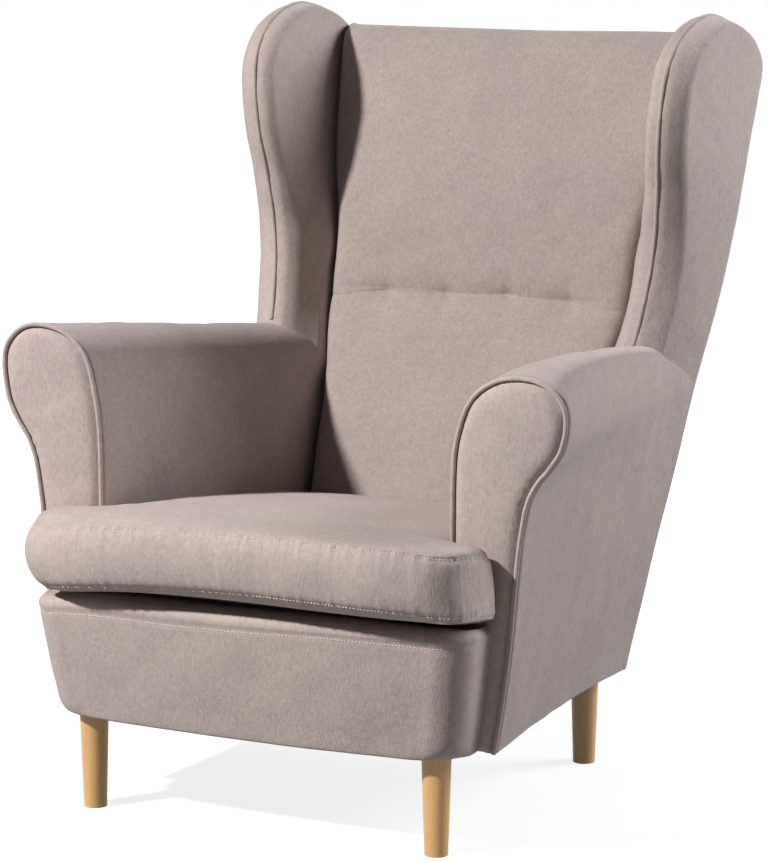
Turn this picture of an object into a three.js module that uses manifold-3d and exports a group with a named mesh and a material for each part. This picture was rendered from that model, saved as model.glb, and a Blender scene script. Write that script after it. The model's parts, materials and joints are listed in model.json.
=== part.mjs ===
// Upholstered fireside chair with rolled arms, wings and a loose T-shaped seat cushion.
// Millimetres: X across, Y from the front to the rear, Z up from the floor.
import * as THREE from "three";
import { mergeVertices } from "three/addons/utils/BufferGeometryUtils.js";
import Module from "manifold-3d";

const wasm = await Module();
wasm.setup();

// The value between two others at a share of the way, and a value kept between two limits
const mix = THREE.MathUtils.lerp;
const limit = THREE.MathUtils.clamp;

// Fits and thicknesses
const fitGap = 0.3;
const overrun = 60;
const boardThickness = 20;
const coverThickness = 5;
const weldDistance = 0.001;

// Main sizes: heights one above the other from the floor, half width and depth of the base
const baseBottom = 131;
const baseHeight = 167;
const deckFrontHeight = baseBottom + baseHeight;
const armRise = 319;
const armTopHeight = deckFrontHeight + armRise;
const backRise = 365;
const backTopHeight = armTopHeight + backRise;
const apronTopHalfWidth = 316;
const apronBottomFrontY = -340;
const rearRailFrontY = 194;

// Side frames, and how far the frame of the back and what lies before it stand in from the rear line
const backRailDepth = 30;
const webbingThickness = 1.8;
const railRearInset = coverThickness + fitGap;
const railFrontInset = railRearInset + backRailDepth;
const beforeFrameInset = railFrontInset + webbingThickness + 3 * fitGap;
const hemRise = 6;
const frameBottom = baseBottom + hemRise;
const sideFrameInset = 54;
const sideFrameInner = apronTopHalfWidth - sideFrameInset;
const sideFrameSplayShare = 0.058;
const postInset = 4;
const armInner = sideFrameInner - postInset;

// Legs
const legInset = 12;
const legAcross = sideFrameInner - legInset;
const legSetback = 40;
const legFrontY = apronBottomFrontY + legSetback;
const legLead = 12;
const legRearY = rearRailFrontY - legLead;
const legBottomRadius = 15.3;
const legTopRadius = 19.5;
const legSides = 32;
const pilotDepth = 36;
const boltRadius = 4;
const boltSides = 12;
const nutBarrelRadius = 5;
const nutBarrelLength = 9;
const nutFlangeRadius = 9;
const nutFlangeThickness = 1.6;
const boltEndAboveNut = 2;

// Seat frame
const blockHeight = 28;
const blockReachIn = 45;
const blockInner = legAcross - blockReachIn;
const frontBlockReach = 50;
const frontBlockRearY = legFrontY + frontBlockReach;
const rearBlockReach = 32;
const rearBlockFrontY = legRearY - rearBlockReach;
const frontRailSetback = 5;
const frontRailFrontY = apronBottomFrontY + frontRailSetback;
const frontRailThickness = 18;
const rearRailThickness = 18;
const sideRailShare = 0.577;

// Seat deck, apron and suspension
const deckSlopeShare = 0.09;
const deckThickness = 22;
const deckRearY = rearRailFrontY;
const apronFlare = 26;
const apronBottomHalfWidth = apronTopHalfWidth - apronFlare;
const apronLean = 16;
const apronTopFrontY = apronBottomFrontY - apronLean;
const armSetback = 78;
const armFrontY = apronBottomFrontY + armSetback;
const facingThickness = 8;
const facingFrontY = armFrontY - facingThickness;
const apronRearGap = 1.5;
const apronRearY = facingFrontY - apronRearGap;
const apronCornerRadius = 37;
const apronThickness = 4;
const apronBow = 4;
const apronEdgeRadius = 12;
const apronBowShares = [-1, -0.5, 0, 0.5, 1];
const apronCornerShares = [0.19, 0.38, 0.57, 0.76, 1];
const apronFootInset = 3;
const apronFootHeight = 4;
const apronSwell = 1;
const apronSwellShares = [0.353, 0.653];
const edgeLiftShare = 0.4;
const edgeInsetShare = 0.25;
const sheetThickness = 1.5;
const sheetEdgeGap = 1;
const sheetHoleGap = 2;
const sheetHoleSides = 24;
const wireRadius = 1.9;
const wireSides = 5;
const bendSteps = 3;
const springBars = 16;
const springBarHalf = 22;
const springInset = 9;
const springFrontY = frontRailFrontY + springInset;
const springRearY = rearRailFrontY + springInset;
const springCount = 4;
const springSideGap = 39.5;
const springPitch = (springRearY - springFrontY) / (springBars - 1);
const springHalf = springBarHalf + springPitch / 2 + wireRadius;
const springSpacing = (2 * (armInner - springSideGap - springHalf)) / (springCount - 1);
const clipHalfWidth = 9;
const clipHalfDepth = 7;
const clipWall = 1.8;

// Arms
const pipingRadius = 3;
const pipingSides = 6;
const pipingLead = 3.8;
const pipingY = armFrontY - pipingLead;
const armEdge = 6;
const armWidth = 147;
const slotReach = 266;
const slotRearY = rearRailFrontY + slotReach;
const slotChamfer = 80;
const armRailUnderTop = 43;
const armRailFrontTop = armTopHeight - armRailUnderTop;
const armRailThickness = 20;
const armRailEndGap = 0.6;
const armSlopeShare = 0.1;
const armFadePower = 1.6;
const armDropPower = 1.35;

// The places that pairs of shares give: across the arm from its inner face, and up from the base to its top.
const acrossArm = (share) => armInner + armWidth * share;
const upArm = (share) => mix(baseBottom, armTopHeight, share);
const onArm = (shares) => shares.map(([across, up]) => [acrossArm(across), upArm(up)]);

const slotInnerShares = [0.068, -0.197];
const slotOuterShares = [0.313, 0.172];
const armRailShares = [0.177, 0.4102];
const underSeatShare = 0.204;
const [slotFrontInner, slotRearInner] = slotInnerShares.map(acrossArm);
const [slotFrontOuter, slotRearOuter] = slotOuterShares.map(acrossArm);
const [armRailInner, slotTopOuter] = armRailShares.map(acrossArm);
const underSeatHalfWidth = acrossArm(underSeatShare);

// Seam line between the arm's pad and its front panel, from the inner foot round to the outer foot.
const armTopPoint = 7;
const armSeamShares = [
  [0, 0],
  [0, 0.265],
  [0, 0.512],
  [0.007, 0.73],
  [0.048, 0.837],
  [0.156, 0.932],
  [0.354, 0.984],
  [0.592, 1],
  [0.816, 0.988],
  [0.959, 0.949],
  [1, 0.897],
  [0.959, 0.823],
  [0.857, 0.77],
  [0.741, 0.726],
  [0.653, 0.673],
  [0.605, 0.605],
  [0.565, 0.512],
  [0.49, 0.267],
  [0.408, 0.091],
  [0.354, 0],
];
const armSeam = onArm(armSeamShares);

// Outline of the arm's rear end, point for point with the seam line.
const armRearShares = [
  [-0.449, 0],
  [-0.449, 0.245],
  [-0.435, 0.451],
  [-0.367, 0.656],
  [-0.293, 0.77],
  [-0.19, 0.842],
  [-0.041, 0.872],
  [0.163, 0.879],
  [0.34, 0.874],
  [0.463, 0.862],
  [0.531, 0.842],
  [0.544, 0.813],
  [0.537, 0.776],
  [0.531, 0.739],
  [0.517, 0.683],
  [0.497, 0.615],
  [0.469, 0.512],
  [0.395, 0.276],
  [0.32, 0.08],
  [0.286, 0],
];
const armRearOutline = onArm(armRearShares);
const armOutlinePoints = 46;
const armStationShares = [0, 0.06, 0.14, 0.26, 0.4, 0.55, 0.7, 0.85, 1];

// Rear and side lines of the body: share of its height, with the share of the rake or across the arm there
const bodyTopRise = 3;
const bodyTop = backTopHeight + bodyTopRise;
const footRakeShare = 0.383;
const rearFootInner = rearRailFrontY + rearRailThickness + fitGap;
const rearFootY = rearFootInner + coverThickness - hemRise * footRakeShare;
const rakeShare = 0.4485;
const rake = (bodyTop - baseBottom) * rakeShare;
const rearLineShares = [
  [0, 0],
  [0.4789, 0.4256],
  [1, 1],
];
const sideLineShares = [
  [0, 0.2857],
  [0.4789, 0.551],
  [1, 0.6599],
];
const upBody = (share) => mix(baseBottom, bodyTop, share);
const rearLine = rearLineShares.map(([up, back]) => [upBody(up), rearFootY + rake * back]);
const sideLine = sideLineShares.map(([up, across]) => [upBody(up), acrossArm(across)]);

// Wings: the line along the front and top edge in side view, as shares of the wing's depth and height.
const wingFootUnderArm = 77;
const wingFootHeight = armTopHeight - wingFootUnderArm;
const earRise = 38;
const wingTopHeight = backTopHeight + earRise;
const wingFootReach = 62;
const wingFootY = rearRailFrontY + wingFootReach;
const wingDepthShare = 0.799;
const wingDepth = rake * wingDepthShare;
const upWing = (share) => mix(wingFootHeight, wingTopHeight, share);
const wingEdgeShares = [
  [0, 0],
  [0.085, 0.135],
  [0.147, 0.26],
  [0.16, 0.375],
  [0.134, 0.51],
  [0.092, 0.625],
  [0.082, 0.74],
  [0.111, 0.844],
  [0.203, 0.923],
  [0.359, 0.977],
  [0.562, 1],
  [0.765, 0.985],
  [0.915, 0.933],
  [0.99, 0.869],
  [1, 0.808],
];
const wingEdge = wingEdgeShares.map(([back, up]) => [wingFootY + wingDepth * back, upWing(up)]);
// Half widths by height at the wing's rim, and where it meets the back
const wingRimShares = [
  [0.125, 0.1769],
  [0.5417, 0.3129],
  [0.9583, 0.415],
];
const junctionShares = [
  [0.1458, -0.1497],
  [0.9167, 0.2381],
];
const wingRimLine = wingRimShares.map(([up, across]) => [upWing(up), acrossArm(across)]);
const junctionLine = junctionShares.map(([up, across]) => [upWing(up), acrossArm(across)]);
const wingFrontPoints = 9;
const wingTurnDrop = 114;
const wingRearTurn = backTopHeight - wingTurnDrop;
const wingEdgeRows = 30;
const wingColumnShares = [0, 0.012, 0.045, 0.1, 0.17, 0.3, 0.5, 0.75, 1];
const wingRound = 26;
const wingShoulderOut = 23;
const earShoulderOut = 31;
const wingShoulderIn = 24;
const wingLeastDepth = 30;
const wingFadePower = 0.6;
const earSwellShares = [0.125, 0.75];
const wingPadding = 22;
const pipingUnderArm = 25;
const wingPipingStart = armTopHeight - pipingUnderArm;
const pipingEndShare = 0.8458;
const wingPipingEnd = upWing(pipingEndShare);
const earBackShare = 0.8;
const earBackY = wingFootY + wingDepth * earBackShare;

// Back
const backSeamHeight = armTopHeight;
const backFootReach = 1;
const backFootY = rearRailFrontY + backFootReach;
const backPadLift = 5;
const deckRearHeight = deckFrontHeight - deckSlopeShare * (deckRearY - apronBottomFrontY);
const backPadBottom = deckRearHeight + backPadLift;
const backBendLift = 84.4;
const backBendHeight = backPadBottom + backBendLift;
const backFaceRakeShare = 0.4755;
const backMiddleShare = 0.893;
const backMiddleHeight = upArm(backMiddleShare);
// Half width of the back pad between the arms: share of the arm's height, and across the arm.
const backHalfShares = [
  [0.2551, -0.4422],
  [0.4506, -0.4286],
  [0.6564, -0.3741],
  [0.7757, -0.3061],
  [0.8519, -0.2381],
  [backMiddleShare, -0.2109],
];
const backLowerHalves = backHalfShares.map(([up, across]) => [upArm(up), acrossArm(across)]);
const [[, backFootHalf]] = backLowerHalves;
const backPadGap = 0.6;
const backColumnShares = [
  0, 0.083, 0.166, 0.249, 0.332, 0.415, 0.492, 0.575, 0.658, 0.736, 0.813, 0.881, 0.943,
];
const backColumns = backColumnShares.map((share) => share * backFootHalf);
const topRailUnderTop = 57;
const topRailTop = backTopHeight - topRailUnderTop;
const topRailHeight = 83;
const topRailBottom = topRailTop - topRailHeight;
const uprightDrop = 20;
const uprightTop = topRailTop - uprightDrop;
const uprightSteps = 13;
const bottomRailLift = 1;
const bottomRailBottom = backPadBottom + bottomRailLift;
const bottomRailHeight = 62;
const bottomRailTop = bottomRailBottom + bottomRailHeight;
const seamDraw = 3;
const seamHalfHeight = 9;
const tuftDraw = 5;
const tuftHalfWidth = 12;
const tuftShares = [-0.736, -0.249, 0.249, 0.736];
const tuftPlaces = tuftShares.map((share) => share * backFootHalf);
const lowerLevelShares = [0, 0.145, 0.29, 0.468, 0.661, 0.855, 1];
const seamLevelShares = [-2.8, -1.4, -0.6, 0, 0.6, 1.4, 2.8];
const upperLevelShares = [0.172, 0.367, 0.594, 0.821];
const hoodLevelShares = [0.351, 0.614, 0.789, 0.912, 1];
const backLevels = [
  ...lowerLevelShares.map((share) => mix(backPadBottom, backMiddleHeight, share)),
  ...seamLevelShares.map((share) => backSeamHeight + share * seamHalfHeight),
  ...upperLevelShares.map((share) => mix(backSeamHeight, topRailTop, share)),
];
const backHoodLevels = hoodLevelShares.map((share) => mix(topRailTop, backTopHeight, share));
const backEdgeIn = 6;
const backEdgeBack = 3;
const backEdgeDeep = 14;
const backFrontRound = 26;
const backRearRound = 44;
const lumbarLift = 45;
const lumbarFrom = backPadBottom + lumbarLift;
const lumbarBulge = 16;
const upperBulge = 9;
const upperBulgePower = 0.7;
const edgePower = 4;
const outsideUnderTop = 34;
const outsideBackTop = backTopHeight - outsideUnderTop;
const outsideTuck = 68;
const outsideTuckFrom = outsideBackTop - outsideTuck;
const outsideShares = [0, 0.08, 0.16, 0.24, 0.32, 0.4, 0.48, 0.56, 0.64, 0.72, 0.8, 0.88, 0.96];
const outsideTuckShares = [0, 0.441, 0.706, 0.882, 1];
const rakeShares = [-0.08, ...outsideShares, 1.04, 1.107, 1.174];
const upOutside = (share) => mix(baseBottom, outsideTuckFrom, share);
const outsideLevels = [
  ...outsideShares.map(upOutside),
  ...outsideTuckShares.map((share) => mix(outsideTuckFrom, outsideBackTop, share)),
];
const rakeLevels = rakeShares.map(upOutside);
const webbingWidth = 60;
const webbingReach = 16;
const lowerWebbingShare = 0.603;
const upperWebbingShare = 0.6546;
const webbingPlaces = { lower: upArm(lowerWebbingShare), upper: upBody(upperWebbingShare) };

// Seat cushion
const cushionLead = 84;
const cushionFrontY = apronBottomFrontY - cushionLead;
const cushionRearGap = 5;
const cushionRearY = rearRailFrontY - cushionRearGap;
const cushionOverhang = 5;
const cushionHalfWidth = apronTopHalfWidth + cushionOverhang;
const shoulderGap = 4.5;
const cushionShoulderY = facingFrontY - shoulderGap;
const cushionNeckGap = 1.5;
const cushionHeight = 96;
const cushionCrown = 30;
const crownPower = 0.8;
const crownCentreShare = 0.495;
const crownReachShare = 0.505;
const crownCentreY = mix(cushionFrontY, cushionRearY, crownCentreShare);
const crownReach = (cushionRearY - cushionFrontY) * crownReachShare;
const cushionArch = 15;
const archFullLift = 20;
const cushionShares = [-1, -0.8, -0.55, -0.28, 0, 0.28, 0.55, 0.8, 1];
const sideRoundShare = 0.42;
const endRoundShare = 0.4;
// Front of the cushion: shares of the way to the shoulder, of the half width, and of the height
// that the underside rises and the top drops.
const noseShares = [
  [0, 0.28, 0.417, 0.375],
  [0.013, 0.498, 0.354, 0.271],
  [0.04, 0.654, 0.281, 0.167],
  [0.094, 0.779, 0.229, 0.083],
  [0.174, 0.872, 0.219, 0.031],
  [0.281, 0.938, 0.188, 0.01],
  [0.415, 0.978, 0.125, 0],
  [0.595, 0.997, 0.052, 0],
  [0.796, 1, 0, 0],
];
const cushionNose = noseShares.map(([back, half, lift, drop]) => [
  mix(cushionFrontY, cushionShoulderY, back),
  cushionHalfWidth * half,
  cushionHeight * lift,
  cushionHeight * drop,
]);
const shoulderTurn = 6;
const shoulderRound = 4;
const shoulderEdge = 2;
const neckStart = 3;
const neckRound = 4;
const neckFull = 14;
const neckShares = [0.16, 0.311, 0.462, 0.612, 0.763, 0.892];
const neckPlaces = neckShares.map((share) => mix(cushionShoulderY, cushionRearY, share));
const rearTurnLead = 15;
const cushionRearTurn = cushionRearY - rearTurnLead;
const rearTurnIn = 3;
const rearTurnRound = 2;
const cushionRearIn = 14;
const cushionRearRound = 12;

// The parabola through three points, as a function.
function throughThree([a, fa], [b, fb], [c, fc]) {
  const first = (fb - fa) / (b - a);
  const second = ((fc - fb) / (c - b) - first) / (c - a);
  return (value) => fa + (value - a) * (first + second * (value - b));
}

// The value that a table of pairs gives between its rows, and at its nearest end beyond them.
function between(table, place) {
  const last = table.length - 1;
  const above = table.findIndex(([at]) => at > place);
  const next = above < 0 ? last : Math.max(above, 1);
  const [from, start] = table[next - 1];
  const [to, end] = table[next];
  return mix(start, end, limit((place - from) / (to - from), 0, 1));
}

// The straight line through two points, as a function.
function throughTwo([a, fa], [b, fb]) {
  return (value) => mix(fa, fb, (value - a) / (b - a));
}

const rearY = throughThree(...rearLine);
const sideX = throughThree(...sideLine);
const rimX = throughThree(...wingRimLine);
const junctionX = throughTwo(...junctionLine);
const deckZ = (y) => deckFrontHeight - deckSlopeShare * (y - apronBottomFrontY);
const sideFrameX = (z) => sideFrameInner + sideFrameSplayShare * (z - frameBottom);
const backFaceY = (z) => backFootY + backFaceRakeShare * Math.max(z - backBendHeight, 0);

// Solids

// A closed body from positions and triangles, facing out.
function closedBody(positions, triangles) {
  const raw = new THREE.BufferGeometry();
  raw.setAttribute("position", new THREE.Float32BufferAttribute(positions, 3));
  raw.setIndex(triangles);
  const merged = mergeVertices(raw, weldDistance);
  const place = merged.getAttribute("position");
  const kept = [];
  let volume = 0;
  const corners = [new THREE.Vector3(), new THREE.Vector3(), new THREE.Vector3()];
  for (let i = 0; i < merged.index.count; i += 3) {
    const abc = [0, 1, 2].map((k) => merged.index.getX(i + k));
    if (new Set(abc).size < 3) continue;
    corners.forEach((corner, k) => corner.fromBufferAttribute(place, abc[k]));
    volume += corners[0].dot(corners[1].clone().cross(corners[2]));
    kept.push(abc);
  }
  merged.setIndex(kept.flatMap(([a, b, c]) => (volume < 0 ? [a, c, b] : [a, b, c])));
  return merged;
}

// A skin through rings of points, closed by a flat lid at each end; the lids are laid out on two axes.
function loft(rings, across = "x", up = "z") {
  const size = rings[0].length;
  const positions = rings.flat().flatMap((point) => point.toArray());
  const triangles = [];
  for (let r = 0; r + 1 < rings.length; r += 1) {
    for (let i = 0; i < size; i += 1) {
      const a = r * size + i;
      const b = r * size + ((i + 1) % size);
      triangles.push(a, b, b + size, a, b + size, a + size);
    }
  }
  [0, rings.length - 1].forEach((r) => {
    const flat = rings[r].map((point) => new THREE.Vector2(point[across], point[up]));
    const turned = THREE.ShapeUtils.isClockWise(flat);
    THREE.ShapeUtils.triangulateShape(turned ? [...flat].reverse() : flat, []).forEach((face) => {
      const own = face.map((k) => r * size + (turned ? size - 1 - k : k));
      triangles.push(...(r === 0 ? own.reverse() : own));
    });
  });
  return closedBody(positions, orient(triangles, positions, rings.length, size));
}

// Turns the lids so that they face the same way as the skin between them.
function orient(triangles, positions, ringCount, size) {
  const skin = (ringCount - 1) * size * 2 * 3;
  const edges = new Set();
  for (let i = 0; i < skin; i += 3) {
    [0, 1, 2].forEach((k) => edges.add(triangles[i + k] + "_" + triangles[i + ((k + 1) % 3)]));
  }
  const lidSize = (triangles.length - skin) / 2;
  [skin, skin + lidSize].forEach((start) => {
    let same = false;
    for (let i = start; i < start + lidSize; i += 3) {
      [0, 1, 2].forEach((k) => {
        same = same || edges.has(triangles[i + k] + "_" + triangles[i + ((k + 1) % 3)]);
      });
    }
    if (!same) return;
    for (let i = start; i < start + lidSize; i += 3) {
      [triangles[i + 1], triangles[i + 2]] = [triangles[i + 2], triangles[i + 1]];
    }
  });
  return triangles;
}

// A board cut to an outline in the XZ plane, from one Y to another.
function boardAcross(outline, fromY, toY) {
  return loft([fromY, toY].map((y) => outline.map(([x, z]) => new THREE.Vector3(x, y, z))));
}

// A board cut to an outline of Y and Z, lying in the splayed side frame and grown by a gap.
function boardAlong(outline, gap = 0) {
  const faces = [-gap, boardThickness + gap].map((shift) =>
    outline.map(([y, z]) => new THREE.Vector3(sideFrameX(z) + shift, y, z)),
  );
  return loft(faces, "y", "z");
}

// A box between two corners.
function box([x0, y0, z0], [x1, y1, z1]) {
  return new THREE.BoxGeometry(x1 - x0, y1 - y0, z1 - z0).translate(
    (x0 + x1) / 2,
    (y0 + y1) / 2,
    (z0 + z1) / 2,
  );
}

// An upright turned body round X = Y = 0.
function turned(profile, sides) {
  const points = profile.map(([radius, z]) => new THREE.Vector2(radius, z));
  return new THREE.LatheGeometry(points, sides).rotateX(Math.PI / 2);
}

// A round bar between two heights.
function rod(radius, fromZ, toZ, sides) {
  return turned(
    [
      [0, fromZ],
      [radius, fromZ],
      [radius, toZ],
      [0, toZ],
    ],
    sides,
  );
}

function solid(geometry) {
  const plain = new THREE.BufferGeometry();
  const source = geometry.index ? geometry.toNonIndexed() : geometry;
  plain.setAttribute("position", source.getAttribute("position"));
  const merged = mergeVertices(plain, weldDistance);
  const body = new wasm.Manifold(
    new wasm.Mesh({
      numProp: 3,
      vertProperties: merged.getAttribute("position").array,
      triVerts: new Uint32Array(merged.index.array),
    }),
  );
  return body.volume() < 0 ? reversed(merged) : body;
}

function reversed(merged) {
  const turnedFaces = new Uint32Array(merged.index.array).reverse();
  return new wasm.Manifold(
    new wasm.Mesh({
      numProp: 3,
      vertProperties: merged.getAttribute("position").array,
      triVerts: turnedFaces,
    }),
  );
}

// The largest body that is left when the cutters are taken from a geometry.
function cut(geometry, ...cutters) {
  let left = solid(geometry);
  cutters.forEach((cutter) => {
    left = left.subtract(solid(cutter));
  });
  return plainGeometry(
    left.decompose().reduce((best, body) => (body.volume() > best.volume() ? body : best)),
  );
}

// The part that two geometries share.
function common(geometry, other) {
  return plainGeometry(solid(geometry).intersect(solid(other)));
}

function plainGeometry(body) {
  const mesh = body.getMesh();
  const result = new THREE.BufferGeometry();
  result.setAttribute("position", new THREE.Float32BufferAttribute(mesh.vertProperties, 3));
  result.setIndex([...mesh.triVerts]);
  return result;
}

// Points along a smooth curve through the given ones, evenly numbered between them.
function smooth(points, count) {
  const curve = new THREE.SplineCurve(points.map(([a, b]) => new THREE.Vector2(a, b)));
  return Array.from({ length: count }, (_, i) => curve.getPoint(i / (count - 1)).toArray());
}

// A line moved sideways: to its left in its own direction for a distance over zero.
function beside(line, distance) {
  return line.map(([a, b], i) => {
    const [a0, b0] = line[Math.max(i - 1, 0)];
    const [a1, b1] = line[Math.min(i + 1, line.length - 1)];
    const length = Math.hypot(a1 - a0, b1 - b0);
    return [a - ((b1 - b0) / length) * distance, b + ((a1 - a0) / length) * distance];
  });
}

// A round wire along points that lie near a plane with the given normal.
function wire(points, normal, radius, sides) {
  const rings = points.map((point, i) => {
    const before = points[Math.max(i - 1, 0)];
    const after = points[Math.min(i + 1, points.length - 1)];
    const side = after.clone().sub(before).cross(normal).normalize();
    const over = side.clone().cross(after.clone().sub(before)).normalize();
    return Array.from({ length: sides }, (_, k) => {
      const angle = (2 * Math.PI * k) / sides;
      return point
        .clone()
        .addScaledVector(side, radius * Math.cos(angle))
        .addScaledVector(over, radius * Math.sin(angle));
    });
  });
  return roundLids(rings);
}

// Rings joined into a skin, with a fan of triangles at each end.
function roundLids(rings) {
  const size = rings[0].length;
  const positions = rings.flat().flatMap((point) => point.toArray());
  const triangles = [];
  for (let r = 0; r + 1 < rings.length; r += 1) {
    for (let i = 0; i < size; i += 1) {
      const a = r * size + i;
      const b = r * size + ((i + 1) % size);
      triangles.push(a, b, b + size, a, b + size, a + size);
    }
  }
  const last = (rings.length - 1) * size;
  for (let i = 1; i + 1 < size; i += 1) {
    triangles.push(0, i + 1, i, last, last + i, last + i + 1);
  }
  return closedBody(positions, triangles);
}

// The chair and its materials

const chair = new THREE.Group();
chair.position.y = -(cushionFrontY + rearY(outsideBackTop)) / 2;

const material = (color, roughness, metalness) =>
  new THREE.MeshStandardMaterial({ color, roughness, metalness });
const finishes = {
  cover: () => material("#b3a39c", 0.95, 0),
  leg: () => material("#d9a866", 0.45, 0),
  frame: () => material("#c9a678", 0.8, 0),
  steel: () => material("#8d9095", 0.4, 0.9),
  webbing: () => material("#4a4640", 0.9, 0),
  dustCover: () => material("#2e2c2b", 0.95, 0),
};

function piece(name, geometry, finish) {
  const mesh = new THREE.Mesh(geometry, finishes[finish]());
  mesh.name = name;
  chair.add(mesh);
  return mesh;
}

// A piece on the right, and its mirror image on the left.
function pair(name, geometry, finish) {
  piece(name + "_right", geometry, finish);
  piece(name + "_left", geometry, finish).scale.x = -1;
}

// Legs with their bolts and nuts

function legProfile() {
  const top = frameBottom - fitGap;
  const pilot = boltRadius + fitGap;
  return [
    [0, 0],
    [legBottomRadius, 0],
    [legTopRadius, top],
    [pilot, top],
    [pilot, top - pilotDepth],
    [0, top - pilotDepth],
  ];
}

function nutProfile() {
  const hole = boltRadius + fitGap;
  const top = frameBottom + blockHeight + fitGap;
  return [
    [hole, top - nutBarrelLength],
    [nutBarrelRadius, top - nutBarrelLength],
    [nutBarrelRadius, top],
    [nutFlangeRadius, top],
    [nutFlangeRadius, top + nutFlangeThickness],
    [hole, top + nutFlangeThickness],
    [hole, top - nutBarrelLength],
  ];
}

function addLegs() {
  const leg = turned(legProfile(), legSides);
  const nut = turned(nutProfile(), boltSides);
  const boltBottom = frameBottom - fitGap - pilotDepth + fitGap;
  const boltTop = frameBottom + blockHeight + nutFlangeThickness + boltEndAboveNut;
  const bolt = rod(boltRadius, boltBottom, boltTop, boltSides);
  const corners = { front_left: [-1, legFrontY], front_right: [1, legFrontY] };
  Object.assign(corners, { rear_left: [-1, legRearY], rear_right: [1, legRearY] });
  Object.entries(corners).forEach(([name, [side, y]]) => {
    piece("leg_" + name, leg, "leg").position.set(side * legAcross, y, 0);
    piece("leg_bolt_" + name, bolt, "steel").position.set(side * legAcross, y, 0);
    piece("leg_nut_" + name, nut, "steel").position.set(side * legAcross, y, 0);
  });
}

// Seat frame

const frontRailRearY = frontRailFrontY + frontRailThickness;
const rearRailRearY = rearRailFrontY + rearRailThickness;
const clipHeight = clipWall + 2 * (wireRadius + fitGap) + clipWall;
const deckUnderZ = (y) => deckZ(y) - deckThickness;
const sideRailTop = deckUnderZ(mix(armFrontY, rearRailFrontY, sideRailShare)) - fitGap;
const springZ = (y) => deckUnderZ(y) - fitGap - wireRadius;
const clipBottom = (y) => springZ(y) - wireRadius - fitGap - clipWall;
const frontRailTop = clipBottom(springFrontY) - fitGap;
const rearRailTop = clipBottom(springRearY) - fitGap;
const blockTop = frameBottom + blockHeight;
const frameOuter = sideFrameInner + boardThickness;
const blockOuter = sideFrameInner - fitGap;

const sideRailRearY = rearY(frameBottom) - railFrontInset - 2 * fitGap;

function cornerBlock(frontY, rearEndY, legY) {
  const hole = rod(boltRadius + fitGap, frameBottom - overrun, blockTop + overrun, boltSides);
  const barrelBottom = blockTop - nutBarrelLength - fitGap;
  const barrel = rod(nutBarrelRadius + fitGap, barrelBottom, blockTop + overrun, boltSides);
  return cut(
    box([blockInner, frontY, frameBottom], [blockOuter, rearEndY, blockTop]),
    hole.translate(legAcross, legY, 0),
    barrel.translate(legAcross, legY, 0),
  );
}

function addSeatFrame() {
  const frontRail = box(
    [-frameOuter, frontRailFrontY, frameBottom],
    [frameOuter, frontRailRearY, frontRailTop],
  );
  const inside = apronInside(apronThickness + fitGap);
  piece("front_rail", common(frontRail, inside), "frame");
  piece(
    "rear_rail",
    box([-blockOuter, rearRailFrontY, blockTop + fitGap], [blockOuter, rearRailRearY, rearRailTop]),
    "frame",
  );
  const railStart = [sideFrameInner, frontRailRearY + fitGap, frameBottom];
  const sideRail = box(railStart, [frameOuter, sideRailRearY, sideRailTop]);
  pair("side_rail", common(sideRail, inside), "frame");
  const frontBlock = cornerBlock(frontRailRearY + fitGap, frontBlockRearY, legFrontY);
  const rearBlock = cornerBlock(rearBlockFrontY, rearRailRearY, legRearY);
  pair("corner_block_front", frontBlock, "frame");
  pair("corner_block_rear", rearBlock, "frame");
}

// Zigzag springs and the clips that hold their end bars

function springLine(centreX) {
  const radius = springPitch / 2;
  const points = [];
  for (let bar = 0; bar < springBars; bar += 1) {
    const side = bar % 2 === 0 ? 1 : -1;
    const y = springFrontY + bar * springPitch;
    points.push([-side * springBarHalf, y], [side * springBarHalf, y]);
    if (bar === springBars - 1) break;
    for (let step = 1; step < bendSteps; step += 1) {
      const angle = (Math.PI * step) / bendSteps;
      const out = springBarHalf + radius * Math.sin(angle);
      points.push([side * out, y + radius - radius * Math.cos(angle)]);
    }
  }
  return points.map(([x, y]) => new THREE.Vector3(centreX + x, y, springZ(y)));
}

function clip(centreX, y) {
  const body = box(
    [centreX - clipHalfWidth, y - clipHalfDepth, clipBottom(y)],
    [centreX + clipHalfWidth, y + clipHalfDepth, clipBottom(y) + clipHeight],
  );
  const bore = rod(wireRadius + fitGap, -overrun, overrun, boltSides).rotateY(Math.PI / 2);
  return cut(body, bore.translate(centreX, y, springZ(y)));
}

function addSprings() {
  const up = new THREE.Vector3(0, deckSlopeShare, 1).normalize();
  for (let i = 0; i < springCount; i += 1) {
    const x = (i - (springCount - 1) / 2) * springSpacing;
    const number = i + 1;
    piece("seat_spring_" + number, wire(springLine(x), up, wireRadius, wireSides), "steel");
    piece("spring_clip_front_" + number, clip(x, springFrontY), "steel");
    piece("spring_clip_rear_" + number, clip(x, springRearY), "steel");
  }
}

// Upper frame

// The outline between two heights of a board that follows the rear line, inset from it by two distances.
function rakedOutline(nearInset, farInset, fromZ, toZ, steps) {
  const heights = Array.from({ length: steps + 1 }, (_, i) => mix(fromZ, toZ, i / steps));
  const rear = heights.map((z) => [rearY(z) - nearInset, z]);
  const front = heights.map((z) => [rearY(z) - farInset, z]);
  return [...rear, ...front.reverse()];
}

// A rail across the back between the side frames, with the rake of the back.
function backRail(fromZ, toZ, rearInset, frontInset, reach) {
  const rings = [fromZ, (fromZ + toZ) / 2, toZ].map((z) => {
    const half = sideFrameX(z) + reach;
    const near = rearY(z) - rearInset;
    const far = rearY(z) - frontInset;
    return [
      new THREE.Vector3(-half, far, z),
      new THREE.Vector3(half, far, z),
      new THREE.Vector3(half, near, z),
      new THREE.Vector3(-half, near, z),
    ];
  });
  return loft(rings, "x", "y");
}

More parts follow.
